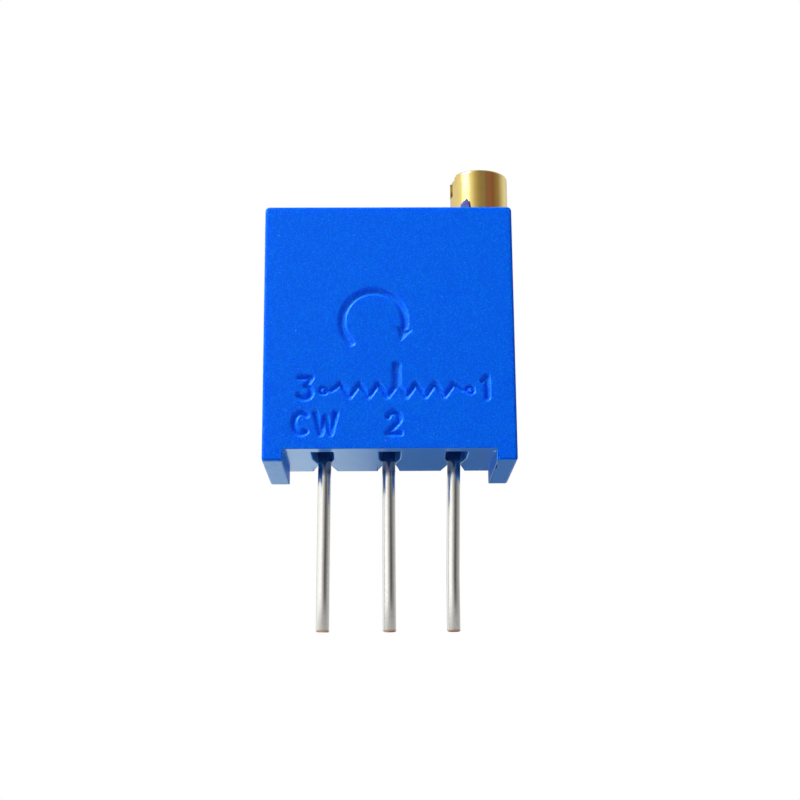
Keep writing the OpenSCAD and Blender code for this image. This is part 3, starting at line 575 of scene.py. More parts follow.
def tinned_copper(pin, tip_z):
    """Drawn copper wire dipped in tin: bright, finely grained, bare at its cut end, and painted dark at its root
    as a reflection of the dark slot.
    """
    material, tree, place = start_material("tinned_copper_wire")
    height = add_node(tree, "SeparateXYZ", links={"Vector": place}).outputs["Z"]
    bare = add_node(tree, "MapRange", {"From Min": tip_z + 0.09 * MM, "From Max": tip_z + 0.01 * MM},
                    {"Value": height})
    # Grains of the tin are about 0.04 mm wide and drawn out along the wire.
    drawn = add_node(tree, "Mapping", {"Scale": (1, 1, 0.45)}, {"Vector": place})
    grain = add_node(tree, "TexNoise", {"Scale": 1 / (0.07 * MM), "Detail": 3.0, "Roughness": 0.7},
                     {"Vector": drawn})
    tin = add_node(tree, "Mix", {"A": pin.tin, "B": srgb("#DCDAD4")}, {"Factor": grain}, data_type="RGBA")
    tone = add_node(tree, "Mix", {"B": pin.copper}, {"Factor": bare, "A": tin}, data_type="RGBA")
    # Painted reflection: the wire's root is painted dark navy, with a ragged edge, standing in for the dark slot
    # that it mirrors.
    ragged = add_node(tree, "Math", {1: 0.12 * MM}, {0: grain}, operation="MULTIPLY")
    edge = add_node(tree, "Math", links={0: height, 1: ragged}, operation="ADD")
    film = add_node(tree, "MapRange", {"From Min": -0.14 * MM, "From Max": 0.06 * MM, "To Max": 0.62},
                    {"Value": edge})
    painted_dark_root = add_node(tree, "Mix", {"B": srgb("#16244A")}, {"Factor": film, "A": tone}, data_type="RGBA")
    rough = add_node(tree, "MapRange", {"To Min": 0.08, "To Max": 0.24}, {"Value": grain})
    bump = add_node(tree, "Bump", {"Strength": 0.35, "Distance": 0.003 * MM}, {"Height": grain})
    return end_material(material, {"Base Color": painted_dark_root, "Roughness": rough, "Normal": bump}, {"Metallic": 1})


def speckled(name, tones, grain, rough, relief=None, noise=None, values=None):
    """A finish of two close tones: grain is the size of its specks, rough its range of roughness.

    relief is the bump's strength and height, noise holds further inputs of the specks, and values the
    shader's plain inputs.
    """
    material, tree, place = start_material(name)
    specks = add_node(tree, "TexNoise", {"Scale": 1 / grain, "Detail": 3.0} | (noise or {}),
                      {"Vector": place})
    tone = add_node(tree, "Mix", dict(zip("AB", tones)), {"Factor": specks}, data_type="RGBA")
    gloss = add_node(tree, "MapRange", {"To Min": rough[0], "To Max": rough[1]}, {"Value": specks})
    links = {"Base Color": tone, "Roughness": gloss}
    if relief:
        links["Normal"] = add_node(tree, "Bump", dict(zip(("Strength", "Distance"), relief)),
                                   {"Height": specks})
    return end_material(material, links, values)


def smooth_plastic(housing):
    """The same thermoset where the tool was polished, under the floor: smooth with faint flow marks, and painted
    paler to make up for the weak light there.
    """
    return speckled("polished_thermoset", (housing.skin, housing.skin_deep), 0.8 * MM, (0.08, 0.2),
                    noise={"Detail": 4.0}, values={"IOR": 1.52})


def potting_epoxy(seal):
    """Poured epoxy: a satin skin dusted with filler, which breaks up what it mirrors."""
    return speckled("potting_epoxy", (seal.epoxy, srgb("#1A5CC4")), 0.3 * MM, (0.22, 0.42), (0.2, 0.02 * MM),
                    {"Detail": 4.0, "Roughness": 0.6}, {"IOR": 1.55, "Specular IOR Level": 0.2})


# ------------------------------------------------------------------------------------------------
# Housing


# Room between the housing and a film or a drop of solder, and between the housing and the wheel.
ROOM = 0.06 * MM
WHEEL_ROOM = 0.1 * MM
# Plan of a pin slot: half its width at places along Y from the pin's axis.
SLOT_PLAN_Y = np.array([-1.805, -0.455, 0.55, 0.7, 1.96, 2.415]) * MM
SLOT_PLAN_HALF = np.array([0.41, 0.41, 0.22, 0.22, 0.46, 0.46]) * MM
SLOT_HALF = 0.41 * MM
# Half width and top of the channel that a pin's blade rises in.
CHANNEL_HALF = 0.28 * MM
CHANNEL_TOP = 1.865 * MM
# Half width of the shallow recess in front of the ceramic plate, for its films.
FILM_HALF = 3.82 * MM
BORE_R = 0.865 * MM
# Post that the wheel turns on, and the place along Y where it ends.
POST_R = 0.7 * MM
POST_END = -0.725 * MM
# Rectangle of the marked face, in x and z, inside which its plain cells give way to the relief.
RELIEF_FRAME = np.array([[-4.3, 4.3], [0.72, 7.2]]) * MM
# Depth within which a face belongs to the marked face, and depth from which it is a mark's.
MARKED_DEPTH = 0.2 * MM
MARK_START = 0.005 * MM


def housing_places(housing):
    """Named places of the housing, from its own box and from the boxes of what sits in it."""
    low, high = corners("housing")
    seal_low, seal_high = corners("back_seal")
    plate_low, _ = corners("ceramic_substrate")
    wheel_low, wheel_high = corners("worm_wheel")
    blade_low, blade_high = corners("solder_joint_2")
    return {
        "left": low[0], "right": high[0], "front": low[1], "back": high[1], "foot": low[2],
        "top": housing.top, "gap": high[0] - housing.foot_width, "floor": housing.floor,
        "pocket_left": seal_low[0], "pocket_right": seal_high[0],
        "pocket_low": seal_low[2], "pocket_top": seal_high[2],
        "ledge": plate_low[1], "film": plate_low[1] - ROOM, "film_top": seal_high[2] - 0.3 * MM,
        "chamber": housing.front_wall + low[1], "chamber_r": (wheel_high[0] - wheel_low[0]) / 2 + WHEEL_ROOM,
        "slot_front": low[1] + housing.slot_wall, "slot_top": housing.floor + housing.slot_rise,
        "slope": high[1] - housing.floor_slope, "pip": low[1] + housing.edge,
        "solder_low": blade_low[2] - ROOM, "solder_top": blade_high[2] + ROOM,
        "solder_front": blade_low[1] - ROOM, "solder_half": (blade_high[0] - blade_low[0]) / 2 + ROOM,
    }


def housing_cells(p, pins, screw_at, wheel_at):
    """Grid lines and filled cells of the housing: a block less its hollows, each a box until it is bent."""
    circle, sides = np.linspace(-1, 1, 17), np.array([-1, 1])
    around = circle[::4]
    slots = [x + sides * half for x in pins for half in (SLOT_HALF, CHANNEL_HALF, p["solder_half"])]
    lines = [
        lines_through([p["left"], p["right"], -p["gap"], p["gap"], p["pocket_left"], p["pocket_right"]],
                      sides * FILM_HALF, RELIEF_FRAME[0], wheel_at[0] + circle * p["chamber_r"],
                      wheel_at[0] + sides * POST_R, screw_at[0] + around * BORE_R, *slots),
        lines_through([p["front"], p["back"], p["film"], p["ledge"], p["slope"], p["chamber"]],
                      [p["solder_front"], -CHANNEL_HALF, 0, POST_END], SLOT_PLAN_Y,
                      screw_at[1] + around * BORE_R),
        lines_through([p["foot"], p["floor"], p["pocket_low"], p["pocket_top"], p["top"], p["slot_top"]],
                      [p["film_top"], CHANNEL_TOP, p["solder_low"], p["solder_top"]], RELIEF_FRAME[1],
                      wheel_at[2] + circle * p["chamber_r"], wheel_at[2] + sides * POST_R),
    ]
    filled = np.ones([len(line) - 1 for line in lines], bool)
    hollows = [
        ([-p["gap"], p["front"], p["foot"]], [p["gap"], p["back"], p["floor"]]),
        ([p["pocket_left"], p["ledge"], p["pocket_low"]], [p["pocket_right"], p["back"], p["pocket_top"]]),
        ([-FILM_HALF, p["film"], p["pocket_low"]], [FILM_HALF, p["ledge"], p["film_top"]]),
    ]
    for x in pins:
        hollows += [
            ([x - SLOT_HALF, p["slot_front"], p["foot"]], [x + SLOT_HALF, p["back"], p["pocket_low"]]),
            ([x - SLOT_HALF, p["slot_front"], p["foot"]], [x + SLOT_HALF, 0, p["slot_top"]]),
            ([x - CHANNEL_HALF, -CHANNEL_HALF, p["foot"]], [x + CHANNEL_HALF, p["ledge"], CHANNEL_TOP]),
            ([x - p["solder_half"], p["solder_front"], p["solder_low"]],
             [x + p["solder_half"], p["ledge"], p["solder_top"]]),
        ]
    x, _, z = wheel_at
    r, front = p["chamber_r"], p["chamber"]
    hollows += [
        ([x - r, front, z - r], [x + r, p["ledge"], z + r]),
        ([screw_at[0] - BORE_R, screw_at[1] - BORE_R, z - r],
         [screw_at[0] + BORE_R, screw_at[1] + BORE_R, p["top"]]),
    ]
    for low, high in hollows:
        filled &= ~cells_within(lines, low, high)
    post = cells_within(lines, [x - POST_R, front, z - POST_R], [x + POST_R, POST_END, z + POST_R])
    return lines, filled | post


def bend_housing(points, p, pins, screw_at, wheel_at):
    """Bends the block's straight hollows: slots flare, the floor's back slopes up, wells become round."""
    bent = points.copy()
    for x in pins:
        for side in (-1, 1):
            on_slot = np.abs(points[:, 0] - x - side * SLOT_HALF) < TOUCH
            on_slot &= points[:, 2] < p["slot_top"] + TOUCH
            half = np.interp(points[on_slot, 1], SLOT_PLAN_Y, SLOT_PLAN_HALF)
            bent[on_slot, 0] = x + side * half
    # What lies over the slope is pressed together under the pocket, so that no cell folds over.
    share = (p["pocket_low"] - points[:, 2]) / (p["pocket_low"] - p["floor"])
    over_slope = (share > 0) & (share < 1 + 1e-6) & (np.abs(points[:, 0]) < p["gap"] + TOUCH)
    bent[over_slope, 2] += share[over_slope] * np.maximum(points[over_slope, 1] - p["slope"], 0)
    in_chamber = (points[:, 1] > p["chamber"] - TOUCH) & (points[:, 1] < p["ledge"] + TOUCH)
    in_chamber &= np.abs(points[:, [0, 2]] - wheel_at[[0, 2]]).max(axis=1) < p["chamber_r"] + TOUCH
    in_bore = points[:, 2] > p["pocket_top"] + 0.1 * MM
    in_bore &= np.abs(points[:, :2] - screw_at[:2]).max(axis=1) < BORE_R + TOUCH
    for inside, axes, centre, radius in ((in_chamber, [0, 2], wheel_at, p["chamber_r"]),
                                         (in_bore, [0, 1], screw_at, BORE_R)):
        chosen = np.ix_(inside, axes)
        bent[chosen] = square_to_disc(points[chosen], centre[axes], radius)
    return bent


def relief_sheet(marks, step):
    """The sunk marks as a sheet over (x, z): its depth grows smoothly from a mark's outline inwards.

    The depth is the full depth times a smooth step of the distance inside the outline over the wall's width.
    """
    (x_low, x_high), (z_low, z_high) = RELIEF_FRAME
    # A flat rim is left between the frame and the sheet.
    inset = 0.12 * MM
    x = np.linspace(x_low + inset, x_high - inset, round((x_high - x_low) / step))
    z = np.linspace(z_low + inset, z_high - inset, round((z_high - z_low) / step))
    flat = np.stack(np.meshgrid(x, z), axis=-1)
    inside = np.clip(-marks_distance(flat, marks) / marks.wall, 0, 1)
    depth = marks.depth * inside**2 * (3 - 2 * inside)
    return flat, depth


def frame_round(outer, inner):
    """Four flat faces between two rectangles of points, each given as bottom, right, top and left side."""
    return [list(o) + list(i)[::-1] for o, i in zip(outer, inner)]


def marked_face(points, quads, p, marks, step):
    """Puts the relief in place of the plain cells in its frame, and closes the rim with four flat faces."""
    frame_x, frame_z = RELIEF_FRAME
    middle = points[quads].mean(axis=1)
    plain = (np.ptp(points[quads][:, :, 1], axis=1) < 1e-9) & (np.abs(middle[:, 1] - p["front"]) < TOUCH)
    plain &= (middle[:, 0] > frame_x[0]) & (middle[:, 0] < frame_x[1])
    plain &= (middle[:, 2] > frame_z[0]) & (middle[:, 2] < frame_z[1])
    flat, depth = relief_sheet(marks, step)
    rows, columns = depth.shape
    sheet = np.column_stack([flat[..., 0].ravel(), p["front"] + depth.ravel(), flat[..., 1].ravel()])
    numbers = len(points) + np.arange(rows * columns).reshape(rows, columns)
    inner = [numbers[0], numbers[:, -1], numbers[-1, ::-1], numbers[::-1, 0]]
    outer = []
    for axis, fixed, value, order in ((0, 2, frame_z[0], 1), (2, 0, frame_x[1], 1), (0, 2, frame_z[1], -1),
                                      (2, 0, frame_x[0], -1)):
        span = frame_x if axis == 0 else frame_z
        on_side = (np.abs(points[:, 1] - p["front"]) < TOUCH) & (np.abs(points[:, fixed] - value) < TOUCH)
        on_side &= (points[:, axis] > span[0] - TOUCH) & (points[:, axis] < span[1] + TOUCH)
        found = np.flatnonzero(on_side)
        outer.append(found[np.argsort(points[found, axis])][::order])
    relief_quads = grid_quads(rows, columns) + len(points)
    faces = quads[~plain].tolist() + frame_round(outer, inner) + relief_quads.tolist()
    return np.vstack([points, sheet]), faces


def drop_unused(points, faces):
    """Leaves out the points that no face uses, and also returns the numbers of those that stay."""
    used = np.unique(np.concatenate([np.asarray(face) for face in faces]))
    number = np.zeros(len(points), int)
    number[used] = np.arange(len(used))
    return points[used], [number[face].tolist() for face in faces], used


def screw_pip(housing, p, screw_at):
    """Leaning pip beside the screw: its outline in (x, z), a peak right of its middle, carried along Y."""
    x = screw_at[0] - housing.pip_left
    half, tip = housing.pip_width / 2, 0.06 * MM
    right_rise, left_rise = 0.05 * MM, 0.12 * MM
    foot = p["top"] - housing.corner
    peak = np.array([x + 0.35 * half, p["top"] + housing.pip_height - tip])
    outline = np.vstack([
        [[x + half, foot], [x + half, p["top"] + right_rise]],
        arc_line(peak, [tip, tip], 25, 125, 6),
        [[x - half, p["top"] + left_rise], [x - half, foot]],
    ])
    rings = np.stack([np.column_stack([outline[:, 0], np.full(len(outline), y), outline[:, 1]])
                      for y in (p["pip"], p["pip"] + housing.pip_thick)])
    count = len(outline)
    faces = grid_quads(2, count, wrap=True).tolist()
    return rings.reshape(-1, 3), faces + [list(range(count))[::-1], list(range(count, 2 * count))]


def edge_radii(a, b, p, housing, pins):
    """Rounding of each edge of the block, from where both its ends lie: a and b are the ends' places."""
    def both(axis, value):
        return (np.abs(a[:, axis] - value) < TOUCH) & (np.abs(b[:, axis] - value) < TOUCH)

    near_low = np.maximum(a[:, 2], b[:, 2]) < p["floor"] + TOUCH
    gap = both(0, p["gap"]) | both(0, -p["gap"])
    within = np.maximum(np.abs(a[:, 0]), np.abs(b[:, 0])) < p["gap"] + TOUCH
    front, back, foot, top = both(1, p["front"]), both(1, p["back"]), both(2, p["foot"]), both(2, p["top"])
    side = both(0, p["left"]) | both(0, p["right"])
    floor = both(2, p["floor"]) & within
    slot = both(1, p["slot_front"])
    for x in pins:
        slot |= both(0, x - SLOT_HALF) | both(0, x + SLOT_HALF)
    lowest, highest = np.minimum(a, b), np.maximum(a, b)
    in_slot = lowest[:, 1] > p["slot_front"] - TOUCH
    beside = (lowest[:, 2] > p["pocket_low"] - TOUCH) & (highest[:, 2] < p["pocket_top"] + TOUCH)
    between = (lowest[:, 0] > p["pocket_left"] - TOUCH) & (highest[:, 0] < p["pocket_right"] + TOUCH)
    pocket_rim = back & (((both(0, p["pocket_left"]) | both(0, p["pocket_right"])) & beside)
                         | (both(2, p["pocket_top"]) & between))
    small = (floor & (front | back)) | (gap & front & near_low) | both(1, p["pip"])
    small |= (floor & slot & in_slot) | pocket_rim
    outer = (side & (front | back | foot)) | (top & (front | back)) | (foot & (front | back))
    radius = np.zeros(len(a))
    for mask, value in (
        (small, housing.small_edge),
        (gap & foot, housing.foot_low),
        (gap & back & near_low, housing.foot_back),
        (outer, housing.edge),
        (side & top, housing.corner),
    ):
        radius[mask] = value
    return radius


class TRIMMER_OT_housing(bpy.types.Operator):
    """Makes the moulded housing with its feet, pin slots, pocket and sunk marks"""

    bl_idname = "trimmer.make_housing"
    bl_label = "Make housing"

    def execute(self, context):
        housing, marks = context.scene.trimmer_housing, context.scene.trimmer_marks
        screw_at, wheel_at = JOINT_AT["screw_turn"], JOINT_AT["wheel_turn"]
        pins = [mount["pos_m"][0] for mount in frame["record"]["mounts"] if mount["kind"] == "pin"]
        p = housing_places(housing)
        straight, quads = cell_skin(*housing_cells(p, pins, screw_at, wheel_at))
        points, faces = marked_face(straight, quads, p, marks, housing.relief_step)
        points, faces, kept = drop_unused(points, faces)
        block = kept < len(straight)
        bent = points.copy()
        bent[block] = bend_housing(points[block], p, pins, screw_at, wheel_at)
        finish = face_finishes(points, faces, p)
        pip = screw_pip(housing, p, screw_at)
        all_points, all_faces = join_shells((bent, faces), pip)
        finish = np.append(finish, np.full(len(pip[1]), 3))
        # The pip beside the screw is painted a darker, greyer blue than the face: painted shade with a painted
        # grey reflection over it. It is rough.
        pip_painted_shade = speckled("pip_painted_shade_and_reflection", (srgb("#707BC6"), srgb("#3C458E")), 0.15 * MM, (0.4, 0.6),
                         (0.3, 0.015 * MM))
        # The marks' own, paler tones are painted light: highlights on their lit walls and blue shade in their
        # shaded ones.
        outer, marked = (housing.face, housing.face_pale), (housing.mark, housing.mark_pale_painted_light)
        materials = [moulded_plastic("spark_eroded_thermoset", (*outer, housing.painted_glint), (0.45, 0.7), 0.12),
                     smooth_plastic(housing),
                     satin_plastic(housing, "ground_thermoset", (0.22, 0.42)),
                     pip_painted_shade,
                     moulded_plastic("thermoset_in_marks_painted_light", (*marked, housing.painted_glint), (0.3, 0.45), 0.6),
                     satin_plastic(housing, "cored_thermoset", (0.5, 0.7))]
        piece = make_piece("housing_moulding", all_points, all_faces, materials, finish)
        round_edges(piece, np.vstack([points, pip[0]]), p, housing, pins)
        seat(piece, "body", "housing_plastic", "housing")
        return {"FINISHED"}


def face_finishes(points, faces, p):
    """Finish of each face by its number.

    0 outer faces, 1 the polished floor, 2 the feet's undersides and the floor's slope, 4 the marks, 5 inner
    faces, also between the feet. The pip's faces, which are added later, have 3.
    """
    ends = points[np.array([face[:4] for face in faces])]
    low, high = ends.min(axis=1), ends.max(axis=1)

    def lies(axis, place):
        return (low[:, axis] > place - TOUCH) & (high[:, axis] < place + TOUCH)

    near_front = high[:, 1] < p["front"] + MARKED_DEPTH
    outer = lies(0, p["left"]) | lies(0, p["right"]) | lies(1, p["back"]) | lies(2, p["top"]) | near_front
    in_mark = near_front & (high[:, 1] > p["front"] + MARK_START)
    foot = lies(2, p["foot"])
    floor = lies(2, p["floor"])
    sloped = floor & (high[:, 1] > p["slope"] + TOUCH)
    return np.select([in_mark, outer, foot | sloped, floor], [4, 0, 2, 1], 5)


def round_edges(piece, straight, p, housing, pins):
    """Rounds the housing's edges, each by its own radius, with one bevel that reads every edge's weight."""
    mesh = piece.data
    ends = np.empty(len(mesh.edges) * 2, np.int32)
    mesh.edges.foreach_get("vertices", ends)
    a, b = straight[ends.reshape(-1, 2)].transpose(1, 0, 2)
    radius = edge_radii(a, b, p, housing, pins)
    weight = mesh.attributes.new("bevel_weight_edge", "FLOAT", "EDGE")
    weight.data.foreach_set("value", (radius / radius.max()).astype(np.float32))
    bevel = piece.modifiers.new("edges", "BEVEL")
    bevel.limit_method = "WEIGHT"
    bevel.width = radius.max()
    bevel.segments = 4
    bevel.use_clamp_overlap = False
    shading = piece.modifiers.new("flat faces", "WEIGHTED_NORMAL")
    shading.weight = 100
    shading.keep_sharp = True


# ------------------------------------------------------------------------------------------------
# Screw


# Height of the head's underside over the housing, and depth of the seal's groove.
HEAD_LIFT = 0.03 * MM
SEAL_GROOVE_DEPTH = 0.36 * MM
# Points of the worm's thread round one turn.
THREAD_STEPS = 32


def screw_head(screw, centre, radius, low, high):
    """Slotted head: cells across the slot, with the ends of each row moved onto the circle.

    A row at the distance v from the middle reaches to the root of radius squared less v squared.
    """
    half = screw.slot_width / 2
    # A row every 6 degrees of the circle, with the nearest two moved to the slot's walls.
    wall = math.asin(half / radius)
    rows = np.radians(np.arange(-87, 88, 6.0))
    rows[np.argmin(np.abs(rows + wall))], rows[np.argmin(np.abs(rows - wall))] = -wall, wall
    v = radius * np.sin(rows)
    turn = np.radians(np.linspace(0, 90, 5))
    bevel_z = high - screw.head_bevel * (1 - np.sin(turn))
    inset = screw.head_bevel * (1 - np.cos(turn))
    nick = high - np.array([screw.nick_front, screw.nick_back])
    # A row runs from -1 to 1, and the nick takes its outermost strip at the slot's left end.
    strip, slot_low = -0.93, high - screw.slot_depth
    lines = [np.array([-1, strip, 1]), v, lines_through([low, slot_low], nick, bevel_z)]
    filled = np.ones([len(line) - 1 for line in lines], bool)
    for x_high, y_low, y_high, z_low in ((1, -half, half, slot_low), (strip, -screw.nick_half, 0, nick[0]),
                                         (strip, 0, screw.nick_half, nick[1])):
        filled &= ~cells_within(lines, [-1, y_low, z_low], [x_high, y_high, high])
    points, quads = cell_skin(lines, filled)
    reach = radius - np.interp(points[:, 2], bevel_z, inset)
    beyond = np.maximum(np.abs(points[:, 1]) - half, 0) * (reach - half) / (radius - half)
    distance = np.abs(points[:, 1])
    across = np.sign(points[:, 1]) * np.where(distance > half, half + beyond, distance)
    along = points[:, 0] * np.sqrt(reach**2 - across**2)
    c, s = math.cos(screw.slot_turn), math.sin(screw.slot_turn)
    flat = np.column_stack([centre[0] + c * along - s * across, centre[1] + s * along + c * across])
    return np.column_stack([flat, points[:, 2]]), quads.tolist()


def screw_shank(screw, centre, top, low):
    """Turned shank with its two grooves, the worm's core and the journal, from the head down."""
    shank, groove, core, journal = (d / 2 for d in (screw.shank, screw.groove, screw.core, screw.journal))
    profile, z = [(0, top + HEAD_LIFT), (shank, top + HEAD_LIFT)], top
    for length, next_radius in ((screw.seal_depth, shank - SEAL_GROOVE_DEPTH), (screw.seal_groove, shank),
                                (screw.land, groove), (screw.catch, shank), (screw.tail, core)):
        z -= length
        profile += [(profile[-1][0], z), (next_radius, z)]
    journal_top, chamfer = low + screw.journal_length, 0.05 * MM
    profile += [(core, journal_top), (journal, journal_top), (journal, low + chamfer),
                (journal - chamfer, low), (0, low)]
    return turned(profile, steps=48, centre=centre)


def worm_thread(screw, centre, middle):
    """Right-hand thread: a four-cornered section carried along a helix, its crest run down at both ends."""
    steps = round(screw.turns * THREAD_STEPS)
    count = np.arange(steps + 1)
    turns = (count - steps / 2) / THREAD_STEPS
    angle = math.pi + turns * 2 * math.pi
    height = middle + screw.pitch * (0.5 + turns)
    # Over three quarters of a turn at each end, the crest runs down towards the core.
    share = np.clip(np.minimum(count, steps - count) / (THREAD_STEPS / 2) - 0.5, -0.5, 1)[:, None]
    # Radius from which a full crest rises, a little over the middle of the thread's height.
    pitch_r = (screw.core + screw.crest) / 4 + 0.0075 * MM
    crest_r = pitch_r + (screw.crest / 2 - pitch_r) * share
    crest_half = screw.thread_top + (screw.thread_foot - screw.thread_top) * (1 - share) * 0.45
    sunk = 0.05 * MM
    inner = np.full_like(crest_r, screw.core / 2 - sunk)
    radii = np.hstack([inner, crest_r, crest_r, inner])
    foot = np.full_like(crest_r, screw.thread_foot)
    offsets = np.hstack([-foot, -crest_half, crest_half, foot])
    points = np.stack([centre[0] + radii * np.cos(angle)[:, None], centre[1] + radii * np.sin(angle)[:, None],
                       height[:, None] + offsets], axis=-1)
    faces = grid_quads(steps + 1, 4, wrap=True).tolist()
    last = 4 * steps
    return points.reshape(-1, 3), faces + [[3, 2, 1, 0], [last, last + 1, last + 2, last + 3]]


class TRIMMER_OT_screw(bpy.types.Operator):
    """Makes the brass screw: slotted head, grooved shank, worm and journal"""

    bl_idname = "trimmer.make_screw"
    bl_label = "Make screw"

    def execute(self, context):
        screw, housing = context.scene.trimmer_screw, context.scene.trimmer_housing
        low, high = corners("adjustment_screw")
        axis, radius = JOINT_AT["screw_turn"], (high[0] - low[0]) / 2
        head = screw_head(screw, axis, radius, housing.top + HEAD_LIFT, high[2])
        shank = screw_shank(screw, axis, housing.top, low[2])
        thread = worm_thread(screw, axis, JOINT_AT["wheel_turn"][2])
        points, faces = join_shells(head, shank, thread)
        piece = make_piece("screw_turned", points, faces, [turned_brass(screw, axis, high[2])])
        seat(piece, "screw", "screw_brass", "adjustment_screw")
        return {"FINISHED"}


# ------------------------------------------------------------------------------------------------
# Pins and potting


def wire_pin(pin, x, tip, top, offsets):
    """Round wire with a rounded cut end, and the flat blade that its upper end was pressed to.

    The pin stands aside by the offsets at its tip, bend and floor, straight in between, and by none where it
    is held in the housing.
    """
    radius, bevel = pin.diameter / 2, pin.bevel
    end = [(0, tip), (radius - bevel, tip)]
    turn = np.radians(np.linspace(-60, 0, 4))
    end += list(zip(radius - bevel + bevel * np.cos(turn), tip + bevel + bevel * np.sin(turn)))
    profile = [(0, pin.round_top), (radius, pin.round_top), (radius, -pin.bend)] + end[::-1]
    wire = turned(profile, steps=40, centre=(x, 0))
    # The lean fades out over the blade's first 0.4 mm. The blade lies flush with the wire's back.
    half, thick, held = pin.blade_width / 2, 0.3 * MM, pin.round_top + 0.4 * MM
    lines = [np.array([x - half, x + half]), np.array([radius - thick, radius]),
             np.array([pin.round_top, held, top])]
    blade_points, blade_quads = cell_skin(lines, np.ones((1, 1, 2), bool))
    points, faces = join_shells(wire, (blade_points, blade_quads.tolist()))
    points[:, 0] += np.interp(points[:, 2], [tip, -pin.bend, pin.round_top, held], [*offsets, 0])
    return points, faces


class TRIMMER_OT_pins(bpy.types.Operator):
    """Makes the three tinned pins"""

    bl_idname = "trimmer.make_pins"
    bl_label = "Make pins"

    def execute(self, context):
        pin = context.scene.trimmer_pins
        material = tinned_copper(pin, corners("pin_1")[0][2])
        for name in ("pin_1", "pin_2", "pin_3"):
            low, high = corners(name)
            offsets = getattr(pin, name.replace("pin", "lean"))
            points, faces = wire_pin(pin, (low[0] + high[0]) / 2, low[2], high[2], offsets)
            piece = make_piece(name.replace("pin", "wire_pin"), points, faces, [material])
            seat(piece, "body", "pin_tin", name)
        return {"FINISHED"}


class TRIMMER_OT_seal(bpy.types.Operator):
    """Makes the epoxy that closes the back"""

    bl_idname = "trimmer.make_seal"
    bl_label = "Make back seal"

    def execute(self, context):
        seal = context.scene.trimmer_seal
        low, high = corners("back_seal")
        cells = 83
        lines = [np.linspace(low[0], high[0], cells + 1), np.array([low[1], high[1]]),
                 np.linspace(low[2], high[2], cells + 1)]
        points, quads = cell_skin(lines, np.ones((cells, 1, cells), bool))
        points = poured_face(points, low, high, seal)
        piece = make_piece("seal_poured", points, quads.tolist(), [potting_epoxy(seal)])
        seat(piece, "body", "seal_epoxy", "back_seal")
        return {"FINISHED"}


def poured_face(points, low, high, seal):
    """Lets the epoxy's free face creep up the walls and ripple slowly.

    The rise falls off with the distance from the nearest wall as an exponential; the ripple is the product
    of two slow waves, one along each side.
    """
    flat, span = points[:, [0, 2]], high[[0, 2]] - low[[0, 2]]
    share = (flat - low[[0, 2]]) / span
    wall = np.minimum(share, 1 - share) * span
    rise = seal.creep * np.exp(-wall / seal.reach).max(axis=1)
    # Each wave's length and start, in radians, make about one wave a side.
    ripple = seal.ripple * np.sin(share[:, 0] * 7.3 + 0.6) * np.cos(share[:, 1] * 5.9 + 1.1)
    shaped = points.copy()
    free = points[:, 1] > high[1] - TOUCH
    shaped[free, 1] += (rise + ripple)[free]
    return shaped


class TRIMMER_OT_inner_parts(bpy.types.Operator):
    """Gives the inner parts their finishes: wheel, wiper, ceramic plate, films, solder, ring, retainer"""

    bl_idname = "trimmer.finish_inner_parts"
    bl_label = "Finish inner parts"

    def execute(self, context):
        # Name of the finish, its two tones, the size of its specks in mm, its roughness and metal share.
        # Acetal looks milky, rubber and cermet dull and dark, alumina chalky, and the metals shine.
        finishes = {
            "moulded_acetal": ("#ECE8D8", "#DDD8C4", 0.4, (0.35, 0.5), 0, ["worm_wheel"]),
            "gilded_spring_bronze": ("#D9B26A", "#C3965A", 0.3, (0.18, 0.3), 1, ["wiper_carrier"]),
            "precious_alloy_wire": ("#D8D6CE", "#BDBBB4", 0.1, (0.15, 0.28), 1, ["wiper_wires"]),
            "nitrile_rubber": ("#1C1C1E", "#2A2A2C", 0.08, (0.55, 0.75), 0, ["screw_o_ring"]),
            "stainless_wire": ("#C4C6C8", "#A9ABAE", 0.1, (0.2, 0.35), 1, ["screw_retaining_pin"]),
            "fired_alumina": ("#F2F1EC", "#E3E2DC", 0.05, (0.5, 0.7), 0, ["ceramic_substrate"]),
            "cermet_film": ("#3E3A36", "#57504A", 0.04, (0.4, 0.6), 0, ["resistive_track"]),
            "silver_film": ("#C9C8C2", "#AEADA8", 0.04, (0.3, 0.5), 1,
                            ["collector_track", "conductor_1", "conductor_3"]),
            "reflowed_solder": ("#C6C8CC", "#A4A7AC", 0.1, (0.15, 0.35), 1,
                                ["solder_joint_1", "solder_joint_2", "solder_joint_3"]),
        }
        for name, (pale, dark, grain, rough, metal, nodes) in finishes.items():
            material = speckled(name, (srgb(pale), srgb(dark)), grain * MM, rough, (0.3, grain * 0.1 * MM),
                                values={"Metallic": metal})
            for node in nodes:
                solid = frame["nodes"][node]
                solid.data.materials.clear()
                solid.data.materials.append(material)
        return {"FINISHED"}


# ------------------------------------------------------------------------------------------------
# Stage


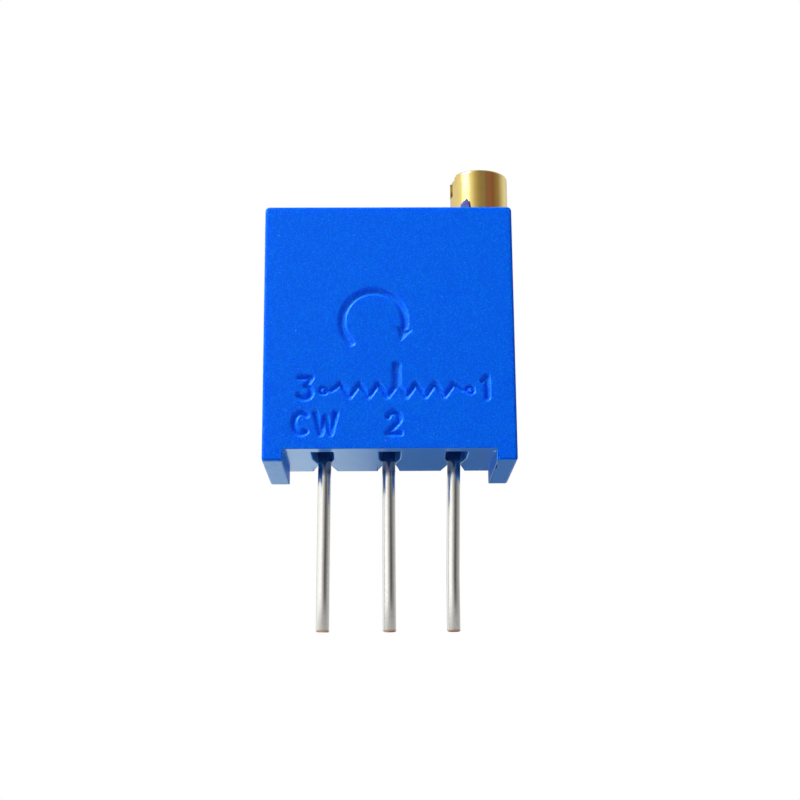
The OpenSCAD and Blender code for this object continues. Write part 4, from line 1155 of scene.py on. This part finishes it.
def studio_world(stage):
    """Even light, with a white background and, for reflections, a studio of bright and dark walls.

    A wall's brightness depends on the compass direction, where 0 is towards -Y and 90 towards +X, and the
    ground, the lower walls and the upper walls differ.
    """
    world = bpy.data.worlds.new("studio")
    world.use_nodes = True
    tree = world.node_tree
    tree.nodes.clear()
    way = add_node(tree, "SeparateXYZ",
                   links={"Vector": add_node(tree, "TexCoord").outputs["Generated"]})
    forward = add_node(tree, "Math", {1: -1.0}, {0: way.outputs["Y"]}, operation="MULTIPLY")
    compass = add_node(tree, "Math", links={0: way.outputs["X"], 1: forward}, operation="ARCTAN2")
    share = add_node(tree, "MapRange", {"From Min": -math.pi, "From Max": math.pi}, {"Value": compass})
    # Compass direction in degrees, brightness and, where it isn't white, tint.
    cool, warm = (0.95, 1.12, 1.08), (1.18, 1, 0.65)
    ground = [(-180, 0.5, cool), (-177, 1, cool), (-160, 1, cool), (-150, 1), (-90, 0.8), (0, 0.5),
              (90, 0.45), (150, 0.8), (165, 0.5), (176, 0.12), (180, 0.12)]
    low_walls = [(-180, 0.12), (-165, 0.12), (-150, 0.9), (-100, 1.15), (-70, 1.25), (-41, 1.3),
                 (-30, 1.15), (-16, 0.76), (0, 0.5), (12, 0.3), (20, 0.135), (30, 0.085), (42, 0.1),
                 (55, 0.235), (75, 0.35), (90, 0.42), (110, 0.5), (140, 0.8), (165, 1.1), (180, 1.1)]
    high_walls = [(-180, 0.6), (-130, 0.85), (-106, 0.9), (-88, 0.98), (-45, 0.98), (-32, 0.92),
                  (-20, 0.55, warm), (-8, 0.36, warm), (4, 0.27, warm), (16, 0.25, warm), (28, 0.31),
                  (41, 0.31), (54, 0.25, warm), (68, 0.24, warm), (83, 0.3, warm), (100, 0.62),
                  (121, 0.9), (180, 0.6)]
    brightest = 1.3
    ramps = []
    for walls in (ground, low_walls, high_walls):
        stops = [((degrees + 180) / 360, np.array(tint[0] if tint else (1, 1, 1)) * level / brightest)
                 for degrees, level, *tint in walls]
        ramps.append(rising_ramp(tree, share, stops))
    below, low, high = ramps
    horizon = add_node(tree, "MapRange", {"From Min": -0.02, "From Max": 0.02}, {"Value": way.outputs["Z"]})
    upright = add_node(tree, "Mix", links={"Factor": horizon, "A": below, "B": low}, data_type="RGBA")
    rise = add_node(tree, "MapRange", {"From Min": 0.2, "From Max": 0.3}, {"Value": way.outputs["Z"]})
    studio = add_node(tree, "Mix", links={"Factor": rise, "A": upright, "B": high}, data_type="RGBA")
    path = add_node(tree, "LightPath")
    even = add_node(tree, "Background", {"Color": (1, 1, 1), "Strength": stage.ambient})
    mirrored = add_node(tree, "Background", {"Strength": brightest}, {"Color": studio})
    seen = add_node(tree, "Background", {"Color": (1, 1, 1), "Strength": 1.0})
    glossy = add_node(tree, "MixShader", links={0: path.outputs["Is Glossy Ray"], 1: even, 2: mirrored})
    final = add_node(tree, "MixShader", links={0: path.outputs["Is Camera Ray"], 1: glossy, 2: seen})
    add_node(tree, "OutputWorld", links={"Surface": final})
    return world


def white_paper():
    """White paper: plain and rough, and lifted to full white where the camera sees it unshaded."""
    material, tree, place = start_material("white_paper")
    fibre = add_node(tree, "TexNoise", {"Scale": 1 / (2 * MM), "Detail": 3.0}, {"Vector": place})
    rough = add_node(tree, "MapRange", {"To Min": 0.85, "To Max": 0.95}, {"Value": fibre})
    path = add_node(tree, "LightPath")
    lift = add_node(tree, "Math", {1: 0.65}, {0: path.outputs["Is Camera Ray"]}, operation="MULTIPLY")
    plain = {"Base Color": srgb("#C4C4C2"), "Emission Color": (1, 1, 1), "Specular IOR Level": 0.0}
    return end_material(material, {"Roughness": rough, "Emission Strength": lift}, plain)


# Key lamp: its place from the body's middle (left, in front and above), its width, and its power in watts.
KEY_OFFSET = np.array([-127, -77, 122]) * MM
KEY_WIDTH = 80 * MM
KEY_POWER = 0.6


def area_lamp(name, place, target, width, power):
    """Square soft lamp at a place, turned towards a target; its power is in watts."""
    light = bpy.data.lights.new(name, "AREA")
    light.size = width
    light.energy = power
    lamp = bpy.data.objects.new(name, light)
    bpy.context.scene.collection.objects.link(lamp)
    lamp.matrix_world = looking(place, target)
    return lamp


def looking(place, target, roll=0.0):
    """Matrix of a camera or lamp at a place that looks at a target, with its top upwards."""
    back = (place - target) / np.linalg.norm(place - target)
    right = np.cross([0, 0, 1], back)
    right /= np.linalg.norm(right)
    up = np.cross(back, right)
    c, s = math.cos(roll), math.sin(roll)
    right, up = c * right + s * up, c * up - s * right
    matrix = np.eye(4)
    matrix[:3, 0], matrix[:3, 1], matrix[:3, 2], matrix[:3, 3] = right, up, back, place
    return Matrix(matrix.tolist())


class TRIMMER_OT_stage(bpy.types.Operator):
    """Sets up the floor, the light and the camera"""

    bl_idname = "trimmer.set_stage"
    bl_label = "Set stage"

    def execute(self, context):
        stage = context.scene.trimmer_stage
        sides = 96
        angle = np.arange(sides) * 2 * math.pi / sides
        disc = np.column_stack([np.cos(angle) * stage.floor_radius, np.sin(angle) * stage.floor_radius,
                                np.full(sides, -stage.floor_drop)])
        make_piece("paper_floor", disc, [list(range(sides))], [white_paper()])
        context.scene.world = studio_world(stage)
        body_middle = np.array([0, 0, 5]) * MM
        area_lamp("key_lamp", body_middle + KEY_OFFSET, body_middle, KEY_WIDTH, KEY_POWER)

        data = bpy.data.cameras.new("camera")
        data.lens, data.sensor_width = stage.lens, 36
        data.clip_start, data.clip_end = 1 * MM, 10
        camera = bpy.data.objects.new("camera", data)
        context.scene.collection.objects.link(camera)
        target = np.array([stage.aim_x, 0, stage.aim_z])
        a, e = stage.azimuth, stage.elevation
        back = np.array([math.sin(a) * math.cos(e), -math.cos(a) * math.cos(e), math.sin(e)])
        camera.matrix_world = looking(target + back * stage.distance, target, stage.roll)
        context.scene.camera = camera
        context.scene.view_settings.view_transform = "Standard"
        return {"FINISHED"}


class TRIMMER_PT_panel(bpy.types.Panel):
    """Lists the trimmer's pieces and its stage"""

    bl_idname = "TRIMMER_PT_panel"
    bl_label = "Trimmer potentiometer"
    bl_space_type = "VIEW_3D"
    bl_region_type = "UI"
    bl_category = "Trimmer"

    def draw(self, context):
        for operator in OPERATORS:
            self.layout.operator(operator.bl_idname)


SETTINGS = {
    "trimmer_marks": MarkSettings,
    "trimmer_housing": HousingSettings,
    "trimmer_screw": ScrewSettings,
    "trimmer_pins": PinSettings,
    "trimmer_seal": SealSettings,
    "trimmer_stage": StageSettings,
}
OPERATORS = (
    TRIMMER_OT_housing,
    TRIMMER_OT_seal,
    TRIMMER_OT_screw,
    TRIMMER_OT_pins,
    TRIMMER_OT_inner_parts,
    TRIMMER_OT_stage,
)


def register():
    for name, group in SETTINGS.items():
        bpy.utils.register_class(group)
        setattr(bpy.types.Scene, name, bpy.props.PointerProperty(type=group))
    for cls in (*OPERATORS, TRIMMER_PT_panel):
        bpy.utils.register_class(cls)


def unregister():
    for cls in (TRIMMER_PT_panel, *reversed(OPERATORS)):
        bpy.utils.unregister_class(cls)
    for name, group in SETTINGS.items():
        delattr(bpy.types.Scene, name)
        bpy.utils.unregister_class(group)


def main():
    """Makes every piece in turn."""
    register()
    for operator in OPERATORS:
        group, name = operator.bl_idname.split(".")
        getattr(getattr(bpy.ops, group), name)()


if __name__ == "__main__":
    main()
